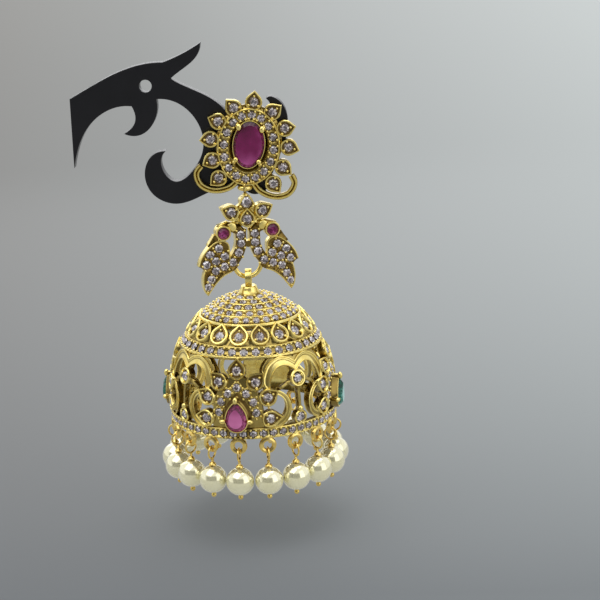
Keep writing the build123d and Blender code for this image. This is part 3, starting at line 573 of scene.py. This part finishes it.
ruby_mat = coloured_stone("ruby", (0.035, 0.001, 0.010), (0.15, 0.008, 0.065),
                          (0.43, 0.09, 0.27))
pear_ruby_mat = coloured_stone("pear_ruby", (0.06, 0.004, 0.02), (0.24, 0.025, 0.11),
                               (0.58, 0.17, 0.36))
emerald_mat = coloured_stone("emerald", (0.002, 0.03, 0.018), (0.006, 0.12, 0.075),
                             (0.25, 0.55, 0.50))


def pearl_finish():
    """Cream lustre under a clear, bright coat."""
    f = Finish("pearl")
    cloud = f.noise(420, 3, 0.55)
    f.set(Base_Color=f.mix(cloud.between(0.3, 0.75), (0.90, 0.86, 0.58), (0.84, 0.79, 0.48)),
          Metallic=0.6, Roughness=0.1, IOR=1.6, Coat_Weight=1.0, Coat_Roughness=0.04,
          Coat_IOR=1.8, Normal=f.bump(f.noise(1800, 2), 0.04, 0.00004))
    return f.material


pearl_mat = pearl_finish()


def hook_finish():
    """Semi-gloss black plastic."""
    f = Finish("hook_black")
    cloud = f.noise(260, 4, 0.6)
    f.set(Base_Color=f.mix(cloud, (0.004, 0.004, 0.005), (0.008, 0.008, 0.010)),
          Roughness=0.28 + 0.12 * cloud, IOR=1.36,
          Normal=f.bump(f.noise(1400, 2), 0.05, 0.00008))
    return f.material


hook_mat = hook_finish()


# Small shapes ---------------------------------------------------------------------------------

rng = random.Random(11)


def sparks(piece, faces):
    """Painted glints and dark painted reflections for a stone's facets, mostly dark near its
    middle.
    """
    middle = sum((f.calc_center_median() for f in faces), Vector()) / len(faces)
    size = max((f.calc_center_median() - middle).length for f in faces)
    for face in faces:
        near = (face.calc_center_median() - middle).length < 0.62 * size
        face[piece.spark] = rng.choice((0.05, 0.15, 0.25, 0.4, 0.6) if near else
                                       (0.1, 0.3, 0.45, 0.6, 0.8, 1.0))


def round_stone(d):
    """Round stone of a diameter, with eight sides and a star."""
    return stone_shape(round_line(d / 2, count=8, start=pi / 8), 0.2 * d, 0.34 * d, 0.56)


petal_stone, halo_stone, heart_stone = round_stone(1.5), round_stone(1.25), round_stone(1.5)
pave_stone, wing_stone, eye_stone = round_stone(1.08), round_stone(1.38), round_stone(1.75)
small_bead, cap_bead = bead_shape(0.21), bead_shape(0.25)


def clear_stones(node, body):
    """Piece of re-cut clear stones that stands for one of the part's nodes."""
    return Piece(node + "_cut", body, clear_mat, [node], "clear_stone", 0)


def trim_and_floor(part, body):
    """The pieces that gather a part's wires and beads, and its trays' floors, dark with painted
    shade.
    """
    return (Piece(part + "_trim", body, gold_wire, slot="gold"),
            Piece(part + "_tray_floors", body, gold_shadow, slot="gold", smooth=0))


# Display hook ---------------------------------------------------------------------------------

def softened(part_of, axis, width):
    """Change that rounds the edges lying square to an axis, within one part of a piece."""
    def change(bm):
        verts = [v for v in bm.verts if part_of(v.co)]
        edges = [e for e in bm.edges if all(part_of(v.co) for v in e.verts)]
        bmesh.ops.dissolve_limit(bm, angle_limit=radians(1), verts=verts, edges=edges)
        sharp = [e for e in bm.edges if all(part_of(v.co) for v in e.verts)
                 and e.calc_face_angle(0) > radians(60)
                 and abs(e.verts[0].co[axis] - e.verts[1].co[axis]) < 1e-5]
        bmesh.ops.bevel(bm, geom=sharp, offset=width, offset_type="OFFSET", segments=3,
                        profile=0.5, affect="EDGES", material=-1, clamp_overlap=True)
    return change


smooth_copy("hook", "stud_on_hook", ["display_hook"], hook_mat, 40,
            softened(lambda co: True, 1, 0.0005))


# Stud -----------------------------------------------------------------------------------------

smooth_copy("stud_body", "stud_on_hook", ["stud_frame"], gold_stud)
smooth_copy("clutch", "stud_on_hook", ["post_clutch"], gold_wire)

# Each petal's angle from the top, distance from the middle and direction of its tip.
STUD_PETALS = ((0.0, 6.4, 0.0), (29.3, 5.97, 48.0), (59.7, 5.85, 74.0), (88.4, 5.95, 102.0),
               (119.2, 6.15, 123.0), (143.4, 7.0, 137.0))
PETALS_SHIFT, HALO_DROP = 0.1, 0.4
stud_petals = [moved(stud_place, PETALS_SHIFT + side * d * sin(radians(a)), d * cos(radians(a)),
                     0, -side * tip)
               for a, d, tip in STUD_PETALS for side in ((1, -1) if a else (1,))]
halo_place = moved(stud_place, 0, -HALO_DROP)


def oval_places(rx, ry, z, count, shift=0.0):
    """Places round an oval about the halo's middle."""
    angles = [2 * pi * (k + shift) / count for k in range(count)]
    return [moved(halo_place, rx * sin(t), ry * cos(t), z, rng.uniform(0, 45)) for t in angles]


# How much narrower a tray's rim wire and floor are than the tray, and where its beads stand.
RIM_INSET, FLOOR_INSET, FLOOR_DEPTH = 0.2, 0.5, 0.235
TRAY_BEADS = ((0, 0.92), (0.72, -0.50), (-0.72, -0.50))


def tray_trim(trim, floor, stones, places, width, tip, height, wire=0.16):
    """Rim wire, floor dark with painted shade, stone and three beads for each petal-shaped tray.
    """
    rim_line, floor_line = (petal_line(width - inset, tip * (1 - inset / width))
                            for inset in (RIM_INSET, FLOOR_INSET))
    trim.set(wire_shape([rim_line], wire), [moved(m, z=height) for m in places])
    floor.set(shape_of(lambda bm: face_of(bm, floor_line)),
              [moved(m, z=height - FLOOR_DEPTH) for m in places])
    stones.set(petal_stone, [moved(m, z=height - 0.2, turn=rng.uniform(0, 45)) for m in places],
               sparks)
    trim.set(small_bead, [moved(m, x, y, height - 0.04) for m in places for x, y in TRAY_BEADS])


trim, floor = trim_and_floor("stud", "stud_on_hook")
stones = clear_stones("stud_petal_stones", "stud_on_hook")
tray_trim(trim, floor, stones, stud_petals, 2.5, 1.75, 1.35)
stones.done()
halo = clear_stones("stud_halo_stones", "stud_on_hook")
halo.set(halo_stone, oval_places(3.8, 4.9, 1.46, 16), sparks)
halo.done()
HALO_BEADS = ((4.36, 5.46, 0.28), (4.36, 5.46, 0.72), (3.22, 4.32, 0.3), (3.22, 4.32, 0.7))
for rx, ry, shift in HALO_BEADS:
    trim.set(small_bead, oval_places(rx, ry, 1.6, 16, shift))
trim.set(wire_shape([round_line(4.62, 5.76, 48)], 0.13), [moved(halo_place, z=1.66)])
trim.set(wire_shape([round_line(2.42, 3.62, 40)], 0.1), [moved(stud_place, z=1.8)])
# Painted shade: a dark band down the well round the centre ruby.
well = [round_line(rx, ry, 40) for rx, ry in ((3.0, 4.05), (2.5, 3.7))]
strip(floor, [[moved(m, x, y, z).translation for x, y in line]
              for line, m, z in zip(well, (moved(stud_place, 0, -HALO_DROP / 2), stud_place),
                                    (1.53, 0.6))], closed=True)
# Claws: height, stretch and radius.
for y, length, size in ((2.55, 1.3, 0.42), (-2.4, 1.05, 0.4)):
    trim.set(bead_shape(size, 12, 8), [moved(stud_place, x * 1.75, y, 2.3)
                                       @ Matrix.Diagonal((1, length, 0.85, 1)) for x in (1, -1)])
SCROLL = [(1.3, -5.9), (2.5, -7.05), (4.7, -7.65), (6.7, -7.0), (7.5, -5.4), (6.9, -4.1)]
for side in (1, -1):
    path = smooth_line([(side * x, y) for x, y in SCROLL], 8)
    for offset in (0.26, -0.26):
        line = []
        for k, p in enumerate(path):
            ahead = path[min(k + 1, len(path) - 1)] - path[max(k - 1, 0)]
            across = Vector((-ahead.y, ahead.x)).normalized()
            q = p + across * offset
            line.append((q.x, q.y, 1.05))
        trim.set(wire_shape([line], 0.2, closed=False), [stud_place])
trim.done()
floor.done()


def big_sparks(dark, light, tops):
    """Painted glints for a large stone's facets: an even table, and crown facets painted as
    catching light or not.
    """
    def give(piece, faces):
        levels = [v.co.z for face in faces for v in face.verts]
        low, high = min(levels), max(levels)
        for face in faces:
            face[piece.spark] = tops if len(face.verts) > 4 else rng.uniform(dark, light)
            for v in face.verts:
                v[piece.height] = (v.co.z - low) / (high - low)
    return give


centre = Piece("centre_ruby_cut", "stud_on_hook", ruby_mat, ["centre_ruby"], "ruby", 0)
centre.set(stone_shape(round_line(2.3, 3.5, 24), 0.5, 0.95, 0.86, star=False),
           [moved(stud_place, z=1.85)], big_sparks(0.0, 0.5, 0.5))
centre.done()


# Motif ----------------------------------------------------------------------------------------

# Half the motif's thickness, and the middle of the right bird's eye.
HALF, BIRD_EYE = 0.75, (3.86, -6.45)
smooth_copy("motif_body", "motif", ["motif_frame"], gold_motif)
motif_petals = [moved(motif_place, 0, -4.6), moved(motif_place, 2.45, -3.4, turn=-65),
                moved(motif_place, -2.45, -3.4, turn=65)]
trim, floor = trim_and_floor("motif", "motif")
stones = clear_stones("motif_petal_stones", "motif")
tray_trim(trim, floor, stones, motif_petals, 2.4, 1.8, HALF + 0.2)
stones.set(eye_stone, [moved(motif_place, 0, -1.95, HALF - 0.02)], sparks)
stones.done()
for side in (1, -1):
    trim.set(wire_shape([[(side * 0.3, -0.85), (side * 1.2, -2.35)]], 0.14, closed=False),
             [moved(motif_place, z=HALF + 0.05)])
    trim.set(cap_bead, [moved(motif_place, side * 0.98, -2.62, HALF + 0.08)])
for side, node in ((-1, "motif_ruby_left"), (1, "motif_ruby_right")):
    at = moved(motif_place, side * BIRD_EYE[0], BIRD_EYE[1])
    trim.set(wire_shape([round_line(1.05)], 0.16), [moved(at, z=HALF + 0.3)])
    # Painted shade: a dark disc in the gap between the eye's ring and its ruby.
    floor.set(shape_of(lambda bm: face_of(bm, round_line(1.0))), [moved(at, z=HALF + 0.31)])
    eye = Piece(node + "_cut", "motif", ruby_mat, [node], "ruby", 0)
    eye.set(eye_stone, [moved(at, z=HALF + 0.30)], big_sparks(0.25, 0.7, 0.6))
    eye.done()
# Stones of the right bird's breast and wing, and the beads between them.
BODY_STONES = [(1.1, -6.95), (1.1, -8.3), (1.5, -9.7), (2.45, -11.15)]
WING_STONES = [(4.6, -8.8), (6.0, -9.7), (3.75, -10.1), (5.15, -10.75), (6.65, -11.2),
               (3.85, -11.7), (5.2, -12.25), (5.95, -13.55), (6.5, -14.75)]
pave_spots = [(side * x, y) for side in (-1, 1) for x, y in BODY_STONES + WING_STONES]
pave = clear_stones("motif_pave_stones", "motif")
pave.set(wing_stone, [moved(motif_place, x, y, HALF - 0.05, rng.uniform(0, 45))
                      for x, y in pave_spots], sparks)
pave.done()
PAVE_BEADS = [(0.45, -7.6), (1.75, -7.6), (0.55, -9.0), (1.95, -8.95), (0.95, -10.4),
              (2.2, -10.35), (1.75, -11.6), (3.2, -11.15), (1.75, -6.3), (0.5, -6.35),
              (3.95, -9.45), (5.3, -9.2), (4.45, -10.45), (5.85, -10.3), (4.5, -11.45),
              (5.9, -11.55), (4.55, -12.4), (5.95, -12.75), (5.2, -13.3), (6.6, -13.9),
              (5.9, -14.4), (6.75, -10.3), (4.35, -8.0), (5.5, -8.7), (7.25, -11.4),
              (3.15, -12.2), (6.85, -12.1), (3.2, -9.3), (5.35, -11.5), (6.65, -15.5)]
trim.set(small_bead, [moved(motif_place, side * x, y, HALF + 0.02)
                      for side in (-1, 1) for x, y in PAVE_BEADS])
WING_EDGE = [(2.95, -10.7), (3.0, -9.4), (3.1, -8.4), (3.6, -7.85), (4.4, -7.7), (5.4, -8.05),
             (6.65, -9.15), (7.45, -10.35), (7.8, -11.35)]
WING_TAIL = [(6.95, -12.3), (7.15, -13.1), (7.22, -14.2), (7.02, -15.3), (6.6, -15.95)]
WING_UNDER = [(6.6, -15.95), (6.0, -15.12), (5.1, -14.02), (3.9, -13.03), (2.7, -12.53)]
for side in (1, -1):
    for edge in (WING_EDGE, WING_TAIL, WING_UNDER):
        line = [(side * p.x, p.y, HALF) for p in smooth_line(edge, 4)]
        trim.set(wire_shape([line], 0.12, closed=False), [motif_place])
SWING = arc_line((-2.1, -11.9), (0.0, -13.75), (2.1, -11.9), 18)
trim.set(wire_shape([SWING], 0.36, closed=False, sides=2), [motif_place])
NECK = [(3.15, -5.2), (2.55, -4.9), (1.95, -5.1), (1.7, -5.7), (1.9, -6.3), (2.5, -6.35),
        (2.9, -5.85)]
satin = Piece("motif_polished", "motif", gold_satin, slot="gold")
for side in (1, -1):
    outline = [(side * x, y) for x, y in NECK]
    satin.set(plate_shape(outline if side > 0 else outline[::-1], HALF - 0.1, HALF + 0.28, 0.2),
              [motif_place])
satin.done()
trim.done()
floor.done()


# Dome -----------------------------------------------------------------------------------------

smooth_copy("dome_body", "dome", ["dome_frame"], gold_dome,
            change=softened(lambda co: co.z > BAIL_FOOT_Z / 1000, 0, 0.00034))
# Each tray's degrees from its flower's middle, height and direction of its tip.
FLOWER_TRAYS = ((0.0, 10.2, 0.0), (13.2, 8.55, 45.0), (21.3, 6.2, 59.5), (22.5, 2.95, 84.0))
# Degrees and height of the small stones round the pear stone.
FLOWER_HALO = ((0.0, 7.8), (6.5, 6.9), (11.3, 5.6), (13.0, 3.97))
# Height of the stones halfway between two flowers, and how far they stand out of the wall.
HEART_STONES = ((8.43, 0.3), (2.4, 0.15))
trim, floor = trim_and_floor("dome", "dome")
satin = Piece("dome_polished", "dome", gold_satin, slot="gold")

flower_places, halo_places, heart_places = [], [], []
for turn in TURNS:
    for a, z, tip in FLOWER_TRAYS:
        for side in ((1, -1) if a else (1,)):
            flower_places.append(wall_place(FLOWER_TURN + turn + side * a, z, 0, -side * tip))
    for a, z in FLOWER_HALO:
        for side in ((1, -1) if a else (1,)):
            halo_places.append(wall_place(FLOWER_TURN + turn + side * a, z))
    heart_places += [wall_place(FLOWER_TURN + turn + 45, z, out) for z, out in HEART_STONES]

stones = clear_stones("flower_petal_stones", "dome")
tray_trim(trim, floor, stones, flower_places, 2.6, 1.9, 0.45)
stones.done()
halo = clear_stones("flower_halo_stones", "dome")
halo.set(halo_stone, [moved(m, z=0.1, turn=rng.uniform(0, 45)) for m in halo_places], sparks)
halo.done()
# Degrees and height of the beads that hold those small stones.
FLOWER_BEADS = ((0.9, 8.65), (2.9, 8.1), (4.3, 7.75), (7.6, 7.75), (9.3, 7.1), (10.2, 6.4),
                (13.6, 6.4), (14.6, 5.5), (14.0, 4.75), (16.1, 4.3), (16.0, 3.4), (3.0, 7.0),
                (4.6, 6.1), (8.6, 5.9), (9.0, 4.9), (10.3, 4.4), (10.4, 3.4), (13.0, 3.0))
for turn in TURNS:
    trim.set(small_bead, [wall_place(FLOWER_TURN + turn + side * a, z, 0.16)
                          for a, z in FLOWER_BEADS for side in (1, -1)])
    # Painted shade: a dark band round the pear stone's collet.
    m = wall_place(FLOWER_TURN + turn, PEAR_Z)
    strip(floor, [[on_wall(m, x, y, out) for x, y in drop_line(width, tip, 10, 8)]
                  for width, tip, out in ((4.3, 4.1, 0.1), (3.5, 3.2, 0.16))], closed=True)

crown_places = [crown_place(FLOWER_TURN + a, 14.6) for a in EIGHTEEN]
stones = clear_stones("crown_band_stones", "dome")
tray_trim(trim, floor, stones, crown_places, 2.8, 1.95, 0.38, 0.2)
stones.done()

hearts = clear_stones("heart_stones", "dome")
hearts.set(heart_stone, [moved(m, z=-0.05, turn=rng.uniform(0, 45)) for m in heart_places],
           sparks)
hearts.done()
for k, m in enumerate(heart_places):
    bezel = k % 2 == 0
    trim.set(wire_shape([round_line(1.12 if bezel else 0.95)], 0.16), [moved(m, z=0.02)])
    trim.set(small_bead, [moved(m, 0.8 * cos(t), 0.8 * sin(t), 0.05)
                          for t in (0.5, 2.6, 4.7)])

rims = clear_stones("rim_stones", "dome")
rim_turns = [FLOWER_TURN + RIM_STEP * k for k in range(RIM_COUNT)]
rims.set(pave_stone, [dome_place(a + 0.5 * RIM_STEP, 0.68, RIM_R - 0.04, turn=rng.uniform(0, 45))
                      for a in rim_turns], sparks)
rims.done()
trim.set(small_bead, [dome_place(a + shift * RIM_STEP, z, RIM_R + 0.05)
                      for a in rim_turns for z in (0.14, 1.26) for shift in (0.25, 0.75)])

# Finest stones: the lower crown band and the cap's rows of radius, height, count and lean.
pave = Piece("crown_fine_stones", "dome", clear_mat, (), "clear_stone", 0)
pave.set(halo_stone, [moved(crown_place(FLOWER_TURN + 10 * k + 5, 12.66), z=0.08,
                          turn=rng.uniform(0, 45)) for k in range(36)], sparks)
trim.set(small_bead, [crown_place(FLOWER_TURN + 10 * k + shift, z, 0.16)
                      for k in range(36) for z in (12.18, 13.12) for shift in (-2.2, 2.2)])
CAP_ROWS = ((7.0, 16.75, 28, 50), (5.95, 17.5, 23, 57), (4.75, 18.2, 18, 62),
            (3.55, 18.75, 13, 66), (2.4, 19.1, 9, 70))
for r, z, count, lean in CAP_ROWS:
    shift = rng.uniform(0, 1)
    spots = [dome_place(FLOWER_TURN + 360 * (k + shift) / count, z, r, lean)
             for k in range(count)]
    pave.set(pave_stone, [moved(m, z=0.03, turn=rng.uniform(0, 45)) for m in spots], sparks)
    for k in range(count):
        m = dome_place(FLOWER_TURN + 360 * (k + shift + 0.5) / count, z, r, lean)
        trim.set(cap_bead, [moved(m, 0, 0.34, 0.1), moved(m, 0, -0.34, 0.1)])
pave.done()
for (r, z, *_), (next_r, next_z, *_) in zip(CAP_ROWS, CAP_ROWS[1:]):
    trim.set(wire_shape([round_line((r + next_r) / 2, count=48)], 0.13),
             [Matrix.Translation((CHAIN_X, CHAIN_Y, RIM_Z + (z + next_z) / 2 + 0.04))])

# Pear stones, their collets and claws.
pear = stone_shape(drop_line(PEAR_WIDTH, PEAR_TIP, 12, 8), 0.75, 0.7, 0.66, (0, 0.5),
                   (0.62, 0.38), star=False)
collet = wire_shape([drop_line(PEAR_WIDTH + 0.2, PEAR_TIP + 0.2, 14, 10)], 0.11)
claw = bead_shape(0.4, 12, 8)
# Claws: degrees from the stone's middle, height and stretch.
PEAR_CLAWS = ((0.0, 6.22, (0.95, 1.45, 1.0)), (8.6, PEAR_Z, (1.35, 0.9, 1.0)),
              (-8.6, PEAR_Z, (1.35, 0.9, 1.0)))
for turn, node, finish, slot in (
        (0, "dome_ruby_front", pear_ruby_mat, "ruby"),
        (90, "dome_emerald_right", emerald_mat, "emerald"),
        (180, "dome_ruby_back", pear_ruby_mat, "ruby"),
        (270, "dome_emerald_left", emerald_mat, "emerald")):
    m = dome_place(FLOWER_TURN + turn, PEAR_Z, PEAR_R)
    jewel = Piece(node + "_cut", "dome", finish, [node], slot, 0)
    jewel.set(pear, [moved(m, z=0.02)], big_sparks(0.0, 0.6, 0.85))
    jewel.done()
    trim.set(collet, [moved(m, z=0.1)])
    for a, z, stretch in PEAR_CLAWS:
        trim.set(claw, [dome_place(FLOWER_TURN + turn + a, z, PEAR_R + 0.35)
                        @ Matrix.Diagonal((*stretch, 1))])

# Hearts and crescents: polished bands with fine edges.
HEART_Z, CRESCENT_Z = 9.2, 4.4
HEART_OUTER = [(0, 1.7), (1.1, 2.5), (2.6, 2.75), (4.3, 1.85), (5.25, 0.15), (5.3, -1.0),
               (4.6, -2.2)]
HEART_INNER = [(0, 0.4), (0.9, 1.15), (2.0, 1.55), (3.1, 1.25), (4.0, 0.2), (4.45, -1.0),
               (4.6, -2.2)]


def band(m, outer, inner):
    """Polished band on the wall, hollow between two edges, with a wire along each."""
    rows = []
    for share, out in ((0.0, 0.2), (0.35, 0.06), (0.7, 0.06), (1.0, 0.16)):
        rows.append([on_wall(m, *(a + (b - a) * share), out) for a, b in zip(outer, inner)])
    strip(satin, rows)
    for line, radius in ((rows[0], 0.12), (rows[-1], 0.1)):
        trim.set(wire_shape([line], radius, closed=False), [Matrix()])


CRESCENT_OUTER = arc_line((-1.2, -3.1), (1.65, 0.0), (-0.6, 2.75))
CRESCENT_INNER = arc_line((-1.2, -2.1), (1.0, 0.0), (-0.6, 2.2))
for turn in TURNS:
    m = wall_place(FLOWER_TURN + turn + 45, HEART_Z)
    for side in (1, -1):
        band(m, *(smooth_line([(side * x, y) for x, y in line], 5)
                  for line in (HEART_OUTER, HEART_INNER)))
    for side in (1, -1):
        band(wall_place(FLOWER_TURN + turn + side * 30, CRESCENT_Z),
             *([Vector((side * x, y)) for x, y in line]
               for line in (CRESCENT_OUTER, CRESCENT_INNER)))
    trim.set(bead_shape(0.46, 12, 8), [wall_place(FLOWER_TURN + turn + 45, 3.75, 0.05)])

# Ridges and rings.
for z, r in ((BAND_Z, 0.27), (CAP_Z, 0.33)):
    trim.set(wire_shape([round_line(crown_radius(z), count=72)], r, sides=2),
             [Matrix.Translation((CHAIN_X, CHAIN_Y, RIM_Z + z))])
ring = wire_shape([round_line(0.97, count=20)], 0.37, sides=2)
rings = Piece("pearl_rings", "dome", gold_drop, slot="gold")
rings.set(ring, [dome_place(FLOWER_TURN + a, -1.2, PEARL_RING_R) for a in EIGHTEEN])
rings.done()
bmesh.ops.recalc_face_normals(satin.bm, faces=satin.bm.faces[:])
satin.done()
trim.done()
floor.done()

# Pearls and pins.
pearls = Piece("pearls", "dome", pearl_mat, [f"pearl_{k:02d}" for k in range(1, 19)], "pearl", 180)
pearls.set(bead_shape(PEARL_R, 28, 18), [dome_place(FLOWER_TURN + a, PEARL_Z, PEARL_RING_R)
                                         @ Matrix.Rotation(pi / 2, 4, "X") for a in EIGHTEEN])
pearls.done()
smooth_copy("pearl_pins", "dome", [f"pearl_pin_{k:02d}" for k in range(1, 19)], gold_drop)


# Camera ---------------------------------------------------------------------------------------

# The camera looks down at the tip's angle, is rolled a little and stands DISTANCE from its aim.
AIM, DISTANCE = (33.83, -3.3, -26.68), 240
tip, roll = radians(14.3), radians(1.9)
forward = Vector((0, cos(tip), -sin(tip)))
level_up = Vector((0, sin(tip), cos(tip)))
right = cos(roll) * Vector((1, 0, 0)) - sin(roll) * level_up
up = sin(roll) * Vector((1, 0, 0)) + cos(roll) * level_up
camera = bpy.data.objects.new("camera", bpy.data.cameras.new("camera"))
camera.data.lens = 92.9
camera.data.sensor_width = 36
camera.data.clip_start = 0.01
view = Matrix((right, up, -forward)).transposed().to_4x4()
view.translation = (Vector(AIM) - DISTANCE * forward) / 1000
camera.matrix_world = view
scene.collection.objects.link(camera)
scene.camera = camera


# Floor, backdrop and light --------------------------------------------------------------------

FLOOR_Z = -0.062


def pale_ground():
    """Pale floor, paler to the right with painted light and darker towards the camera, that keeps
    the shadow and looks even in metal.
    """
    f = Finish("pale_floor")
    x, y, _ = f.axes()
    side = (x - camera.location.x) / (y - camera.location.y)
    pale = f.node("ShaderNodeValToRGB", {"stops": [
        (0.0, (0.31, 0.30, 0.28)), (0.25, (0.365, 0.37, 0.355)), (0.55, (0.50, 0.52, 0.51)),
        (1.0, (0.66, 0.70, 0.69))]}, {0: side.between(-0.2, 0.2)})
    near = ((FLOOR_Z - camera.location.z) / (camera.location.y - y)).between(0.05, 0.47)
    rays = f.node("ShaderNodeLightPath").socket.node.outputs
    by_camera, in_gloss, through = (Link(f, rays[name]) for name in (
        "Is Camera Ray", "Is Glossy Ray", "Is Transmission Ray"))
    pale = f.mix(by_camera, (0.45, 0.45, 0.44), f.mix(near * 0.85, pale, (0.0, 0.01, 0.02)))
    glow = f.node("ShaderNodeEmission", {}, {"Color": pale, "Strength": 1.0})
    f.set(Base_Color=(0.55, 0.57, 0.58), Roughness=0.8)
    both = f.node("ShaderNodeMixShader", {}, {
        0: (by_camera + in_gloss + through) * 0.8, 1: Link(f, f.shader.outputs[0]), 2: glow})
    f.put(f.tree.nodes["Material Output"].inputs[0], both)
    return f.material


def ground():
    """The floor under the hanging earring."""
    bm = bmesh.new()
    bmesh.ops.create_grid(bm, x_segments=1, y_segments=1, size=7.0,
                          matrix=Matrix.Translation((0, 0, FLOOR_Z)))
    mesh = bpy.data.meshes.new("floor")
    bm.to_mesh(mesh)
    bm.free()
    mesh.materials.append(pale_ground())
    obj = bpy.data.objects.new("floor", mesh)
    scene.collection.objects.link(obj)


ground()


def room():
    """White room with a dark doorway ahead, which gives polished metal its dark middles."""
    f = Finish("room", "Background", bpy.data.worlds)
    x, y, z = f.axes("Generated")
    across = (x + 0.18).size()
    above = (z * forward.y - y * forward.z + 0.19).size()
    ahead = (z * -forward.z - y * forward.y).between(0.0, 0.2)
    doorway = (1.0 - across.between(0.6, 0.74)) * (1.0 - above.between(0.52, 0.66)) * ahead
    f.set(Color=f.mix(doorway, (0.96, 0.97, 1.0), (0.17, 0.17, 0.17)))
    return f.material


scene.world = room()
MIDDLE = Vector((26, -3, -25)) / 1000


def lamp(name, spot, size, power):
    """Soft lamp of a size in metres that shines on the earring's middle."""
    data = bpy.data.lights.new(name, "AREA")
    data.shape = "RECTANGLE"
    data.size, data.size_y = size
    data.energy = power
    obj = bpy.data.objects.new(name, data)
    spot = Vector(spot) / 1000
    facing = (MIDDLE - spot).to_track_quat("-Z", "Y").to_matrix().to_4x4()
    obj.matrix_world = Matrix.Translation(spot) @ facing
    scene.collection.objects.link(obj)


lamp("key", (-100, -110, 260), (0.3, 0.3), 0.42)
lamp("fill", (240, -160, 60), (0.2, 0.3), 0.12)
lamp("top", (40, 60, 260), (0.3, 0.2), 0.3)
lamp("back", (-40, 260, 120), (0.3, 0.2), 0.2)

scene.view_settings.view_transform = "Standard"
